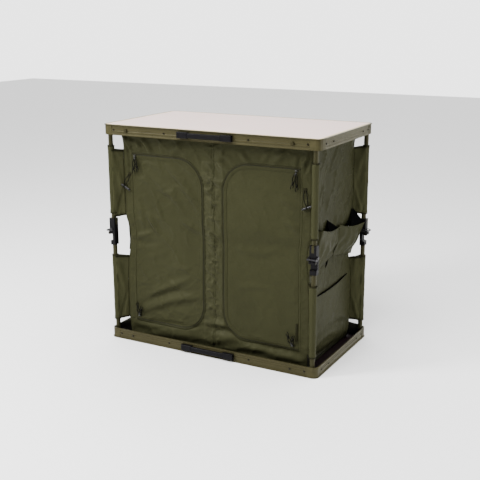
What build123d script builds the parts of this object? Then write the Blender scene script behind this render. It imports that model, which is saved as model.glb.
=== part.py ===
from build123d import *
import os

# Folding storage cabinet: two rigid trays, four folding legs and a hanging fabric box.
# Millimetres. The origin is the middle of the underside, +Z up, the doors face -Y.

# Overall size of the open cabinet
width = 800
depth = 440
height = 760

# Trays: a flat panel in a frame of moulded rails with separate corner pieces
tray_height = 35
closing_gap = 1.0
lip_overhang = 3.0
lip_thickness = 2.4
corner_radius = 20.0
rail_wall = 3.0
groove_depth = 0.9
groove_slope = 0.3
lip_slope = 1.2
closing_lip = 1.0
closing_lip_height = 1.4
closing_lip_slope = 0.8
flange_thickness = 1.5
flange_width = 11.0
panel_thickness = 6.0
panel_clearance = 0.3
corner_length = 34.0
corner_proud = 0.5
least_corner_radius = 2.0
joint_gap = 0.2

# How far a cut runs past the face that it leaves
cut_margin = 1.0

# Grooves in the outer face of a rail, as first and last distance from the tray's flat side
groove_spans = [(4.0, 13.0), (18.2, 21.2), (25.4, 28.0)]

# Rivets along the rails: one near each end, the others from the middle of the rail
rivet_end_gap = 8.0
long_rail_rivets = [-155, 155]
short_rail_rivets = [-118, 130]
rivet_drop = 18.0
rivet_head_radius = 3.6
rivet_head_height = 1.8
rivet_head_taper = 35
rivet_shank_radius = 1.95
rivet_hole_radius = 2.0
rivet_tail_radius = 3.0
rivet_tail_height = 1.2

# Legs: round tubes, each hinged to both trays and folding at the knee
tube_diameter = 16.0
tube_wall = 1.2
inset_along = 16.0
inset_across = 23.0
knee_offset = 13.0
tube_end_allowance = 0.2
tube_clearance = 0.05
pin_clearance = 0.05

# Brackets that hold the leg ends
base_pin_diameter = 6.0
base_pin_head_radius = 4.2
base_pin_head_height = 0.8
bracket_gap = 0.5
bracket_cheek = 3.0
bracket_plate = 2.0
bracket_front = 5.0
bracket_back = 12.0
bracket_tail = 38.0
bracket_tail_height = 9.0
bracket_ear = 10.0
bracket_bevel = 4.0

# Knee blocks, measured from the knee pin
knee_pin_diameter = 5.0
knee_pin_head_radius = 3.6
knee_pin_head_height = 0.7
block_half_width = 11.5
block_inner = 9.5
face_gap = 0.6
stop_height = 2.0
stop_gap = 0.1
upper_block_length = 53.0
upper_socket_depth = 33.0
lower_block_length = 41.0
lower_socket_depth = 15.0
socket_cap = 2.0
neck_slope = 3.0
socket_outer = 9.5
neck_outer = 1.0
tongue_half_width = 5.2
tongue_depth = 4.5
tongue_root = 4.0
tongue_boss_radius = 4.5
cheek_boss_radius = 5.0
cheek_gusset = 7.0
slot_clearance = 0.5
block_edge = 1.2

# Release lever: a stirrup round the upper knee block
lever_pivot_out = 2.0
lever_pivot_up = 14.0
lever_pivot_radius = 2.5
lever_pivot_depth = 3.0
lever_pivot_end_gap = 0.2
lever_boss_radius = 5.0
lever_side_gap = 0.8
lever_plate = 3.5
lever_reach = 22.5
lever_bar_radius = 2.9
lever_bar_up = 10.2
lever_window_radius = 2.4
lever_window_shift = 1.5

# Carrying handles on the front rails
handle_drop = 17.5
mount_inner = 60.0
mount_outer = 100.0
mount_height = 20.0
mount_proud = 12.0
mount_edge = 2.0
grip_end_gap = 0.5
grip_height = 16.0
grip_thickness = 9.0
grip_face_gap = 2.5
grip_pivot_rise = 4.0
grip_pivot_out = 6.0
grip_edge = 3.0
trunnion_radius = 3.0
trunnion_length = 9.0
trunnion_end_gap = 1.0

# Turning hook latches behind the front rail
latch_end_gap = 92.0
latch_drop = 18.0
latch_knob_radius = 6.5
latch_knob_height = 4.5
latch_knob_taper = 12
latch_shaft_radius = 3.0
latch_rail_gap = 0.5
latch_blade_thickness = 2.0
latch_blade_length = 26.0
latch_blade_half = 5.5
latch_notch_radius = 20.0
keeper_radius = 2.0
keeper_clearance = 0.4
keeper_length = 5.0

# Fabric box
fabric_rail_gap = 44.0
fabric_corner = 6.0
fabric_wall = 2.0
fabric_floor_gap = 2.5
fabric_roof_gap = 19.0
fabric_clearance = 0.6
waist_pull = 7.0
roof_tuck = 60.0
roof_draw = 2.0

# Folds where the box sags on its floor: height above the floor, then how far the two short
# walls and the two long walls stand out
floor_folds = [(0.0, -3.0, -3.0), (14.0, 2.0, 2.0), (25.0, -1.0, -1.0), (37.0, 2.5, 2.0), (50.0, 0.0, 0.0)]

# Doors in the front of the box, closed by a curved zip
door_hinge_inset = 39.0
door_inner_x = 40.0
door_floor_gap = 58.0
door_roof_gap = 77.5
door_top_radius = 95.0
door_bottom_radius = 88.0

# Zip sliders and their pull cords
slider_length = 15.0
slider_width = 8.0
slider_thickness = 4.0
pull_width = 5.0
pull_length = 34.0
pull_thickness = 2.5
pull_overlap = 2.0
slider_from_hinge = 12.0

# Shelves, divider and floor board
shelf_z = 372.0
shelf_thickness = 4.0
board_thickness = 3.0
divider_thickness = 2.0
shelf_margin = 2.0
shelf_corner = 3.0

# Fabric sleeves round the legs, with the webs that join them to the box
sleeve_gap = 0.5
sleeve_wall = 1.6
web_thickness = 1.6
web_corner_inset = 1.0
web_box_gap = 3.0
upper_sleeve_gaps = (19.0, 41.0)
lower_sleeve_gaps = (31.0, 39.0)

# Toggles that hold a rolled door
toggle_radius = 3.0
toggle_length = 36.0
toggle_inset = 18.0
toggle_drop = 111.0
left_toggle_tilt = -28.0
right_toggle_tilt = 11.0
toggle_stand_off = 3.0

# Pockets on both sides
pocket_wall = 1.4
bag_rise = 75.0
bag_height = 133.0
bag_reach = 31.0
bag_low_reach = 8.0
bag_taper = 40.0
bag_spans = [(-150.0, 28.0), (40.0, 172.0)]
flat_pocket_span = (-124.0, 141.0)
flat_pocket_rise = 68.0
flat_pocket_height = 162.0
flat_pocket_reach = 5.0

# Worked out from the driving sizes
body_x = width / 2 - lip_overhang
body_y = depth / 2 - lip_overhang
body_radius = corner_radius - lip_overhang
latch_x = body_x - latch_end_gap
pivot_z = tray_height + closing_gap / 2 - knee_offset
knee_z = height / 2
tube_radius = tube_diameter / 2
tube_end_radius = tube_radius + tube_end_allowance
block_outer = knee_offset - face_gap
bracket_inside = tube_radius + bracket_gap
bracket_outside = bracket_inside + bracket_cheek
flange_level = panel_thickness + flange_thickness
fabric_floor = flange_level + fabric_floor_gap
fabric_roof = height - flange_level - fabric_roof_gap
fabric_half_x = body_x - fabric_rail_gap
fabric_half_y = body_y - fabric_rail_gap
door_hinge_x = fabric_half_x - door_hinge_inset
door_bottom_z = fabric_floor + door_floor_gap
door_top_z = fabric_roof - door_roof_gap

across = depth / 2 - inset_across
along = depth / 2 - inset_along
legs = {
    "front_left": (-(width / 2 - inset_along), -across, (-1, 0)),
    "front_right": (width / 2 - inset_across, -along, (0, -1)),
    "back_right": (width / 2 - inset_along, across, (1, 0)),
    "back_left": (-(width / 2 - inset_across), along, (0, 1)),
}

# Each tray is drawn by distance from its flat side: bottom tray upwards, top tray downwards
trays = {"bottom": (0.0, 1.0), "top": (float(height), -1.0)}

rails = {
    "front": ((0, -1), body_y, body_x),
    "back": ((0, 1), body_y, body_x),
    "left": ((-1, 0), body_x, body_y),
    "right": ((1, 0), body_x, body_y),
}

os.makedirs("parts", exist_ok=True)


def level(tray, distance):
    base, sign = trays[tray]
    return base + sign * distance


def wall_plane(outward, reach):
    """Plane across a rail: x runs outward from the rail's face, y is the height."""
    ox, oy = outward
    return Plane(origin=(ox * reach, oy * reach, 0), x_dir=(ox, oy, 0), z_dir=(oy, -ox, 0))


def face_plane(outward, reach, z):
    """Plane on a rail's face: x runs along the rail, y is the height."""
    ox, oy = outward
    return Plane(origin=(ox * reach, oy * reach, z), x_dir=(-oy, ox, 0), z_dir=(ox, oy, 0))


def leg_side_plane(leg):
    """Plane through a leg's axis: x runs outward from the cabinet, y is the height."""
    x, y, (ox, oy) = legs[leg]
    return Plane(origin=(x, y, 0), x_dir=(ox, oy, 0), z_dir=(oy, -ox, 0))


def leg_plan_plane(leg, z):
    x, y, (ox, oy) = legs[leg]
    return Plane(origin=(x, y, z), x_dir=(ox, oy, 0), z_dir=(0, 0, 1))


def rivet_spots(outward, other):
    """Places along a rail, from its middle."""
    end = other - corner_length - rivet_end_gap
    inner = long_rail_rivets if outward[0] == 0 else short_rail_rivets
    return [-end, *inner, end]


def rail_outline(tray):
    """Section of a rail, outward distance against height."""
    points = [(lip_overhang, 0.0), (lip_overhang, lip_thickness), (0.0, lip_thickness + lip_slope)]
    for first, last in groove_spans:
        points += [(0.0, first), (-groove_depth, first + groove_slope)]
        points += [(-groove_depth, last - groove_slope), (0.0, last)]
    lip_start = tray_height - closing_lip_height
    points += [(0.0, lip_start - closing_lip_slope), (closing_lip, lip_start), (closing_lip, tray_height)]
    points += [(-rail_wall, tray_height), (-rail_wall, flange_level)]
    points += [(-rail_wall - flange_width, flange_level), (-rail_wall - flange_width, panel_thickness)]
    points += [(-rail_wall, panel_thickness), (-rail_wall, 0.0)]
    return [(n, level(tray, t)) for n, t in points]


# Trays
for tray in trays:
    with BuildPart() as panel:
        first = level(tray, 0)
        last = level(tray, panel_thickness)
        inset = rail_wall + panel_clearance
        with BuildSketch(Plane.XY.offset(min(first, last))):
            RectangleRounded(2 * (body_x - inset), 2 * (body_y - inset), body_radius - inset)
        extrude(amount=panel_thickness)
    panel.part.label = tray + "_panel"
    export_step(panel.part, "parts/" + panel.part.label + ".step")

    with BuildPart() as rail_set:
        for outward, reach, other in rails.values():
            with BuildSketch(wall_plane(outward, reach)):
                with BuildLine():
                    Polyline(rail_outline(tray), close=True)
                make_face()
            extrude(amount=other - corner_length, both=True)
        for outward, reach, other in rails.values():
            spots = rivet_spots(outward, other)
            with BuildSketch(face_plane(outward, reach, level(tray, rivet_drop))):
                with Locations([(s, 0) for s in spots]):
                    Circle(rivet_hole_radius)
            extrude(amount=2 * rail_wall, both=True, mode=Mode.SUBTRACT)
        if tray == "top":
            with BuildSketch(face_plane((0, -1), body_y, level(tray, latch_drop))):
                with Locations((-latch_x, 0), (latch_x, 0)):
                    Circle(latch_shaft_radius + pin_clearance)
            extrude(amount=2 * rail_wall, both=True, mode=Mode.SUBTRACT)
    rail_set.part.label = tray + "_rails"
    export_step(rail_set.part, "parts/" + rail_set.part.label + ".step")

    with BuildPart() as corner_set:
        layers = [
            (0.0, lip_thickness, lip_overhang, rail_wall),
            (lip_thickness, panel_thickness, corner_proud, rail_wall),
            (panel_thickness, flange_level, corner_proud, rail_wall + flange_width),
            (flange_level, tray_height, corner_proud, rail_wall),
        ]
        for start, stop, outer, inner in layers:
            low = min(level(tray, start), level(tray, stop))
            with BuildSketch(Plane.XY.offset(low)):
                RectangleRounded(2 * (body_x + outer), 2 * (body_y + outer), body_radius + outer)
                hole_radius = max(body_radius - inner, least_corner_radius)
                RectangleRounded(
                    2 * (body_x - inner), 2 * (body_y - inner), hole_radius, mode=Mode.SUBTRACT
                )
            extrude(amount=stop - start)
        low = min(level(tray, 0), level(tray, tray_height))
        with BuildSketch(Plane.XY.offset(low)):
            span = 2 * (corner_length - joint_gap)
            with Locations([(sx * body_x, sy * body_y) for sx in (-1, 1) for sy in (-1, 1)]):
                Rectangle(span, span)
        extrude(amount=tray_height, mode=Mode.INTERSECT)
    corner_set.part.label = tray + "_corners"
    export_step(corner_set.part, "parts/" + corner_set.part.label + ".step")

    with BuildPart() as rivet_set:
        for outward, reach, other in rails.values():
            spots = rivet_spots(outward, other)
            face = face_plane(outward, reach, level(tray, rivet_drop))
            with BuildSketch(face.offset(-rail_wall - rivet_tail_height)):
                with Locations([(s, 0) for s in spots]):
                    Circle(rivet_tail_radius)
            extrude(amount=rivet_tail_height)
            with BuildSketch(face.offset(-rail_wall)):
                with Locations([(s, 0) for s in spots]):
                    Circle(rivet_shank_radius)
            extrude(amount=rail_wall)
            with BuildSketch(face):
                with Locations([(s, 0) for s in spots]):
                    Circle(rivet_head_radius)
            extrude(amount=rivet_head_height, taper=rivet_head_taper)
    rivet_set.part.label = tray + "_rivets"
    export_step(rivet_set.part, "parts/" + rivet_set.part.label + ".step")

    with BuildPart() as bracket_set:
        for leg in legs:
            side = leg_side_plane(leg)
            profile = [
                (bracket_front, flange_level),
                (bracket_front, pivot_z + bracket_ear - bracket_bevel),
                (bracket_front - bracket_bevel, pivot_z + bracket_ear),
                (-bracket_back, pivot_z + bracket_ear),
                (-bracket_tail, flange_level + bracket_tail_height),
                (-bracket_tail, flange_level),
            ]
            with BuildSketch(side):
                with BuildLine():
                    Polyline([(a, level(tray, t)) for a, t in profile], close=True)
                make_face()
            extrude(amount=bracket_outside, both=True)
        for leg in legs:
            side = leg_side_plane(leg)
            low = flange_level + bracket_plate
            channel = [
                (bracket_front + cut_margin, low),
                (bracket_front + cut_margin, tray_height + cut_margin),
                (-bracket_tail - cut_margin, tray_height + cut_margin),
                (-bracket_tail - cut_margin, low),
            ]
            with BuildSketch(side):
                with BuildLine():
                    Polyline([(a, level(tray, t)) for a, t in channel], close=True)
                make_face()
            extrude(amount=bracket_inside, both=True, mode=Mode.SUBTRACT)
            with BuildSketch(side):
                with Locations((0, level(tray, pivot_z))):
                    Circle(base_pin_diameter / 2)
            extrude(amount=bracket_outside + cut_margin, both=True, mode=Mode.SUBTRACT)
    bracket_set.part.label = tray + "_leg_brackets"
    export_step(bracket_set.part, "parts/" + bracket_set.part.label + ".step")

    with BuildPart() as pin_set:
        for leg in legs:
            side = leg_side_plane(leg)
            spot = (0, level(tray, pivot_z))
            with BuildSketch(side):
                with Locations(spot):
                    Circle(base_pin_diameter / 2)
            extrude(amount=bracket_outside, both=True)
            for end in (bracket_outside, -bracket_outside - base_pin_head_height):
                with BuildSketch(side.offset(end)):
                    with Locations(spot):
                        Circle(base_pin_head_radius)
                extrude(amount=base_pin_head_height)
    pin_set.part.label = tray + "_leg_pins"
    export_step(pin_set.part, "parts/" + pin_set.part.label + ".step")

    handle_z = level(tray, handle_drop)
    pivot_y = body_y + grip_pivot_out
    pivot_height = handle_z + grip_pivot_rise
    with BuildPart() as mount_set:
        middle = (mount_inner + mount_outer) / 2
        with BuildSketch(face_plane((0, -1), body_y, handle_z)):
            with Locations((-middle, 0), (middle, 0)):
                Rectangle(mount_outer - mount_inner, mount_height)
        extrude(amount=mount_proud)
        fillet(mount_set.faces().sort_by(Axis.Y)[0:2].edges(), mount_edge)
        with BuildSketch(Plane.YZ):
            with Locations((-pivot_y, pivot_height)):
                Circle(trunnion_radius + pin_clearance)
        extrude(amount=mount_inner + trunnion_length, both=True, mode=Mode.SUBTRACT)
    mount_set.part.label = tray + "_handle_mounts"
    export_step(mount_set.part, "parts/" + mount_set.part.label + ".step")

    with BuildPart() as grip:
        near = -body_y - grip_face_gap
        with BuildSketch(Plane.YZ):
            with Locations((near - grip_thickness / 2, handle_z)):
                RectangleRounded(grip_thickness, grip_height, grip_edge)
        extrude(amount=mount_inner - grip_end_gap, both=True)
        with BuildSketch(Plane.YZ):
            with Locations((-pivot_y, pivot_height)):
                Circle(trunnion_radius)
        extrude(amount=mount_inner + trunnion_length - trunnion_end_gap, both=True)
    grip.part.label = tray + "_grip"
    export_step(grip.part, "parts/" + grip.part.label + ".step")

# Turning hook latches on the top tray and their keepers on the bottom tray
for side_name, sx in (("left", -1), ("right", 1)):
    with BuildPart() as latch:
        latch_z = level("top", latch_drop)
        front = face_plane((0, -1), body_y, latch_z)
        blade_start = rail_wall + latch_rail_gap
        centre = (sx * latch_x, 0)
        with BuildSketch(front.offset(latch_rail_gap)):
            with Locations(centre):
                Circle(latch_knob_radius)
        extrude(amount=latch_knob_height, taper=latch_knob_taper)
        with BuildSketch(front.offset(-blade_start)):
            with Locations(centre):
                Circle(latch_shaft_radius)
        extrude(amount=blade_start + latch_rail_gap)
        with BuildSketch(front.offset(-blade_start - latch_blade_thickness)):
            with Locations((sx * (latch_x - latch_blade_length / 2), 0)):
                Rectangle(latch_blade_length, 2 * latch_blade_half)
            with Locations(centre):
                Circle(latch_blade_half)
            notch = keeper_radius + keeper_clearance
            with Locations((sx * (latch_x - latch_notch_radius), 0)):
                Circle(notch, mode=Mode.SUBTRACT)
            with Locations((sx * (latch_x - latch_notch_radius), -latch_blade_half)):
                Rectangle(2 * notch, 2 * latch_blade_half, mode=Mode.SUBTRACT)
        extrude(amount=latch_blade_thickness)
    latch.part.label = "latch_" + side_name
    export_step(latch.part, "parts/" + latch.part.label + ".step")

with BuildPart() as keepers:
    drop_when_closed = height - (2 * tray_height + closing_gap)
    keeper_z = level("top", latch_drop) - drop_when_closed - latch_notch_radius
    inside_rail = face_plane((0, -1), body_y - rail_wall, keeper_z)
    with BuildSketch(inside_rail.offset(-keeper_length)):
        with Locations((-latch_x, 0), (latch_x, 0)):
            Circle(keeper_radius)
    extrude(amount=keeper_length)
keepers.part.label = "latch_keepers"
export_step(keepers.part, "parts/" + keepers.part.label + ".step")

# Legs
for leg in legs:
    side = leg_side_plane(leg)
    knee = (knee_offset, knee_z)
    upper_socket_floor = knee_z + upper_block_length - upper_socket_depth
    lower_socket_roof = knee_z - lower_block_length + lower_socket_depth

    tubes = {
        "lower": (pivot_z - tube_end_radius, lower_socket_roof, pivot_z, -1),
        "upper": (upper_socket_floor, height - pivot_z + tube_end_radius, height - pivot_z, 1),
    }
    for half, (first, last, hole_z, end) in tubes.items():
        with BuildPart() as tube:
            with BuildSketch(leg_plan_plane(leg, first)):
                Circle(tube_radius)
                Circle(tube_radius - tube_wall, mode=Mode.SUBTRACT)
            extrude(amount=last - first)
            with BuildSketch(side):
                with Locations((0, hole_z + end * tube_diameter / 2)):
                    Rectangle(2 * tube_diameter, tube_diameter)
                with Locations((0, hole_z)):
                    Circle(tube_end_radius, mode=Mode.SUBTRACT)
                    Circle(base_pin_diameter / 2 + pin_clearance)
            extrude(amount=tube_diameter, both=True, mode=Mode.SUBTRACT)
        tube.part.label = leg + "_" + half + "_tube"
        export_step(tube.part, "parts/" + tube.part.label + ".step")

    with BuildPart() as lower_knuckle:
        socket_bottom = knee_z - lower_block_length
        socket_top = lower_socket_roof + socket_cap
        with BuildSketch(side):
            with BuildLine():
                Polyline(
                    (-block_inner, socket_bottom),
                    (socket_outer, socket_bottom),
                    (socket_outer, socket_top - neck_slope),
                    (neck_outer, socket_top),
                    (neck_outer, knee_z + stop_height - stop_gap),
                    (-block_inner, knee_z + stop_height - stop_gap),
                    close=True,
                )
            make_face()
        extrude(amount=block_half_width, both=True)
        chamfer(lower_knuckle.edges().filter_by(Axis.Z), block_edge)
        with BuildSketch(side):
            with BuildLine():
                Polyline(
                    (neck_outer - tongue_root, knee_z - tongue_depth),
                    (knee_offset, knee_z - tongue_depth),
                    (knee_offset, knee_z + stop_height - stop_gap),
                    (neck_outer - tongue_root, knee_z + stop_height - stop_gap),
                    close=True,
                )
            make_face()
            with Locations(knee):
                Circle(tongue_boss_radius)
        extrude(amount=tongue_half_width, both=True)
        with BuildSketch(side):
            with Locations(knee):
                Circle(knee_pin_diameter / 2 + pin_clearance)
        extrude(amount=block_half_width, both=True, mode=Mode.SUBTRACT)
        with BuildSketch(leg_plan_plane(leg, socket_bottom)):
            Circle(tube_radius + tube_clearance)
        extrude(amount=lower_socket_depth, mode=Mode.SUBTRACT)
    lower_knuckle.part.label = leg + "_lower_knuckle"
    export_step(lower_knuckle.part, "parts/" + lower_knuckle.part.label + ".step")

    with BuildPart() as upper_knuckle:
        block_bottom = knee_z + stop_height
        block_top = knee_z + upper_block_length
        with BuildSketch(side):
            with BuildLine():
                Polyline(
                    (-block_inner, block_bottom),
                    (block_outer, block_bottom),
                    (block_outer, block_top),
                    (-block_inner, block_top),
                    close=True,
                )
            make_face()
        extrude(amount=block_half_width, both=True)
        chamfer(upper_knuckle.edges().filter_by(Axis.Z), block_edge)
        with BuildSketch(side):
            with Locations(knee):
                Circle(cheek_boss_radius)
            with BuildLine():
                Polyline(
                    (knee_offset - cheek_boss_radius, knee_z),
                    (knee_offset + cheek_boss_radius, knee_z),
                    (knee_offset + cheek_boss_radius, block_bottom + cut_margin),
                    (block_outer - block_edge, block_bottom + cheek_gusset),
                    (knee_offset - cheek_boss_radius, block_bottom + cut_margin),
                    close=True,
                )
            make_face()
        extrude(amount=block_half_width, both=True)
        slot_half = tongue_half_width + slot_clearance
        slot_reach = cheek_boss_radius + slot_clearance
        with BuildSketch(side):
            with Locations((knee_offset, knee_z)):
                Rectangle(2 * slot_reach + cut_margin, 2 * slot_reach)
        extrude(amount=slot_half, both=True, mode=Mode.SUBTRACT)
        with BuildSketch(side):
            with Locations(knee):
                Circle(knee_pin_diameter / 2)
        extrude(amount=block_half_width, both=True, mode=Mode.SUBTRACT)
        with BuildSketch(leg_plan_plane(leg, upper_socket_floor)):
            Circle(tube_radius + tube_clearance)
        extrude(amount=upper_socket_depth, mode=Mode.SUBTRACT)
        for end in (-1, 1):
            with BuildSketch(side.offset(end * block_half_width)):
                with Locations((lever_pivot_out, knee_z + lever_pivot_up)):
                    Circle(lever_pivot_radius + pin_clearance)
            extrude(amount=-end * lever_pivot_depth, mode=Mode.SUBTRACT)
    upper_knuckle.part.label = leg + "_upper_knuckle"
    export_step(upper_knuckle.part, "parts/" + upper_knuckle.part.label + ".step")

    with BuildPart() as knee_pin:
        with BuildSketch(side):
            with Locations(knee):
                Circle(knee_pin_diameter / 2)
        extrude(amount=block_half_width, both=True)
        for end in (block_half_width, -block_half_width - knee_pin_head_height):
            with BuildSketch(side.offset(end)):
                with Locations(knee):
                    Circle(knee_pin_head_radius)
            extrude(amount=knee_pin_head_height)
    knee_pin.part.label = leg + "_knee_pin"
    export_step(knee_pin.part, "parts/" + knee_pin.part.label + ".step")

    with BuildPart() as lever:
        pivot = (lever_pivot_out, knee_z + lever_pivot_up)
        bar = (lever_reach - lever_bar_radius, knee_z + lever_bar_up)
        plate_inside = block_half_width + lever_side_gap
        plate_outside = plate_inside + lever_plate
        for end in (-1, 1):
            start = end * plate_inside
            with BuildSketch(side.offset(start)):
                with BuildLine():
                    Polyline(
                        (pivot[0], pivot[1] - lever_boss_radius),
                        (bar[0], bar[1] - lever_bar_radius),
                        (bar[0], bar[1] + lever_bar_radius),
                        (pivot[0], pivot[1] + lever_boss_radius),
                        close=True,
                    )
                make_face()
                with Locations(pivot):
                    Circle(lever_boss_radius)
                with Locations(bar):
                    Circle(lever_bar_radius)
                with Locations(((pivot[0] + bar[0]) / 2 + lever_window_shift, (pivot[1] + bar[1]) / 2)):
                    Circle(lever_window_radius, mode=Mode.SUBTRACT)
            extrude(amount=end * lever_plate)
            with BuildSketch(side.offset(start)):
                with Locations(pivot):
                    Circle(lever_pivot_radius)
            extrude(amount=-end * (lever_side_gap + lever_pivot_depth - lever_pivot_end_gap))
        with BuildSketch(side):
            with Locations(bar):
                Circle(lever_bar_radius)
        extrude(amount=plate_outside, both=True)
    lever.part.label = leg + "_release_lever"
    export_step(lever.part, "parts/" + lever.part.label + ".step")

# Fabric box: rounded rectangles stacked from floor to roof, with its folds and drawn-in waist
fold_sections = [(fabric_floor + rise, dx, dy) for rise, dx, dy in floor_folds]
fold_sections += [
    (shelf_z / 2, -waist_pull / 2, 0.0),
    (shelf_z, -waist_pull, 0.0),
    ((shelf_z + fabric_roof) / 2, -waist_pull / 2, 0.0),
    (fabric_roof - roof_tuck, 0.0, 0.0),
    (fabric_roof, -roof_draw, 0.0),
]


def fold_profile(inset, trim):
    """Heights and half sizes of the stacked rectangles, drawn in by a wall."""
    last = len(fold_sections) - 1
    shifts = {0: trim, last: -trim}
    return [
        (z + shifts.get(i, 0.0), fabric_half_x + dx - inset, fabric_half_y + dy - inset)
        for i, (z, dx, dy) in enumerate(fold_sections)
    ]


def door_face(grow):
    """Outline of the right-hand door, x from the middle of the cabinet and y its height."""
    inner = door_inner_x - grow
    low = door_bottom_z - grow
    high = door_top_z + grow
    top_radius = door_top_radius + grow
    bottom_radius = door_bottom_radius + grow
    outer = door_hinge_x + grow
    with BuildSketch() as outline:
        with BuildLine():
            Line((outer, low), (outer, high))
            Line((outer, high), (inner + top_radius, high))
            RadiusArc((inner + top_radius, high), (inner, high - top_radius), -top_radius)
            Line((inner, high - top_radius), (inner, low + bottom_radius))
            RadiusArc((inner, low + bottom_radius), (inner + bottom_radius, low), -bottom_radius)
            Line((inner + bottom_radius, low), (outer, low))
        make_face()
    return outline.sketch


front_plane = Plane(origin=(0, -fabric_half_y, 0), x_dir=(1, 0, 0), z_dir=(0, -1, 0))
mirror_plane = Plane(origin=(0, -fabric_half_y, 0), x_dir=(-1, 0, 0), z_dir=(0, 1, 0))

with BuildPart() as fabric_body:
    for z, half_x, half_y in fold_profile(0.0, 0.0):
        with BuildSketch(Plane.XY.offset(z)):
            RectangleRounded(2 * half_x, 2 * half_y, fabric_corner)
    loft(ruled=True)
    for z, half_x, half_y in fold_profile(fabric_wall, fabric_wall):
        with BuildSketch(Plane.XY.offset(z)):
            RectangleRounded(2 * half_x, 2 * half_y, fabric_corner - fabric_wall)
    loft(ruled=True, mode=Mode.SUBTRACT)
    for plane in (front_plane, mirror_plane):
        with BuildSketch(plane):
            add(door_face(fabric_clearance))
        extrude(amount=4 * fabric_wall, both=True, mode=Mode.SUBTRACT)
fabric_body.part.label = "fabric_body"
export_step(fabric_body.part, "parts/" + fabric_body.part.label + ".step")

for side_name, plane, sx in (("right", front_plane, 1), ("left", mirror_plane, -1)):
    with BuildPart() as door:
        with BuildSketch(plane):
            add(door_face(0.0))
        extrude(amount=-sx * fabric_wall)
    door.part.label = "door_" + side_name
    export_step(door.part, "parts/" + door.part.label + ".step")

    for end_name, z in (("top", door_top_z), ("bottom", door_bottom_z)):
        hang = -1 if end_name == "top" else 1
        with BuildPart() as slider:
            front = face_plane((0, -1), fabric_half_y + fabric_clearance, z)
            spot = sx * (door_hinge_x - slider_from_hinge - slider_length / 2)
            with BuildSketch(front):
                with Locations((spot, 0)):
                    RectangleRounded(slider_length, slider_width, slider_width / 3)
            extrude(amount=slider_thickness)
            reach = slider_width / 2 + pull_length / 2 - pull_overlap
            with BuildSketch(front.offset(slider_thickness - pull_thickness)):
                with Locations((spot, hang * reach)):
                    RectangleRounded(pull_width, pull_length, pull_width / 3)
            extrude(amount=pull_thickness)
        slider.part.label = "zip_slider_" + side_name + "_" + end_name
        export_step(slider.part, "parts/" + slider.part.label + ".step")

# Divider, shelves and floor board inside the fabric box
inside_floor = fabric_floor + fabric_wall
inside_roof = fabric_roof - fabric_wall
inside_x = fabric_half_x - fabric_wall - waist_pull - shelf_margin
inside_y = fabric_half_y - fabric_wall - shelf_margin

with BuildPart() as floor_board:
    with BuildSketch(Plane.XY.offset(inside_floor + fabric_clearance)):
        RectangleRounded(2 * inside_x, 2 * (inside_y - shelf_margin), fabric_corner)
    extrude(amount=board_thickness)
floor_board.part.label = "floor_board"
export_step(floor_board.part, "parts/" + floor_board.part.label + ".step")

with BuildPart() as divider:
    divider_floor = inside_floor + board_thickness + 2 * fabric_clearance
    with BuildSketch(Plane.XY.offset(divider_floor)):
        Rectangle(divider_thickness, 2 * (inside_y - shelf_margin))
    extrude(amount=inside_roof - fabric_clearance - divider_floor)
divider.part.label = "centre_divider"
export_step(divider.part, "parts/" + divider.part.label + ".step")

for side_name, sx in (("left", -1), ("right", 1)):
    with BuildPart() as shelf:
        inner = divider_thickness / 2 + fabric_clearance
        with BuildSketch(Plane.XY.offset(shelf_z)):
            with Locations((sx * (inner + inside_x) / 2, 0)):
                RectangleRounded(inside_x - inner, 2 * (inside_y - shelf_margin), shelf_corner)
        extrude(amount=shelf_thickness)
    shelf.part.label = "shelf_" + side_name
    export_step(shelf.part, "parts/" + shelf.part.label + ".step")

# Sleeves round the legs, each with the web that joins it to the corner of the box
with BuildPart() as webs:
    sleeve_inner = tube_radius + sleeve_gap
    sleeve_outer = sleeve_inner + sleeve_wall
    above_tray, below_knee = lower_sleeve_gaps
    lower_sleeve = (tray_height + above_tray, knee_z - lower_block_length - below_knee)
    above_knee, below_tray = upper_sleeve_gaps
    upper_sleeve = (knee_z + upper_block_length + above_knee, height - tray_height - below_tray)
    for leg in legs:
        x, y, outward = legs[leg]
        corner_x = fabric_half_x - web_corner_inset
        corner_y = fabric_half_y - web_corner_inset
        reach = Vector(x, y) - Vector(corner_x if x > 0 else -corner_x, corner_y if y > 0 else -corner_y)
        web_length = reach.length - sleeve_inner - web_box_gap
        direction = reach.normalized()
        for first, last in (lower_sleeve, upper_sleeve):
            with BuildSketch(Plane(origin=(x, y, first), x_dir=(direction.X, direction.Y, 0))):
                Circle(sleeve_outer)
                with Locations((-(sleeve_inner + web_length / 2), 0)):
                    Rectangle(web_length, web_thickness)
                Circle(sleeve_inner, mode=Mode.SUBTRACT)
            extrude(amount=last - first)
webs.part.label = "leg_sleeves"
export_step(webs.part, "parts/" + webs.part.label + ".step")

# Toggle bars that hold a rolled door open
with BuildPart() as toggles:
    for sx, tilt in ((-1, left_toggle_tilt), (1, right_toggle_tilt)):
        reach = fabric_half_y + toggle_stand_off + toggle_radius
        front = face_plane((0, -1), reach, door_top_z - toggle_drop)
        centre = front.from_local_coords(Vector(sx * (fabric_half_x - toggle_inset), 0, 0))
        along_bar = Vector(1, 0, 0).rotate(Axis.Y, -tilt)
        bar_plane = Plane(origin=centre, x_dir=(0, 1, 0), z_dir=along_bar)
        with BuildSketch(bar_plane):
            Circle(toggle_radius)
        extrude(amount=toggle_length / 2, both=True)
toggles.part.label = "door_toggles"
export_step(toggles.part, "parts/" + toggles.part.label + ".step")

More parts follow.
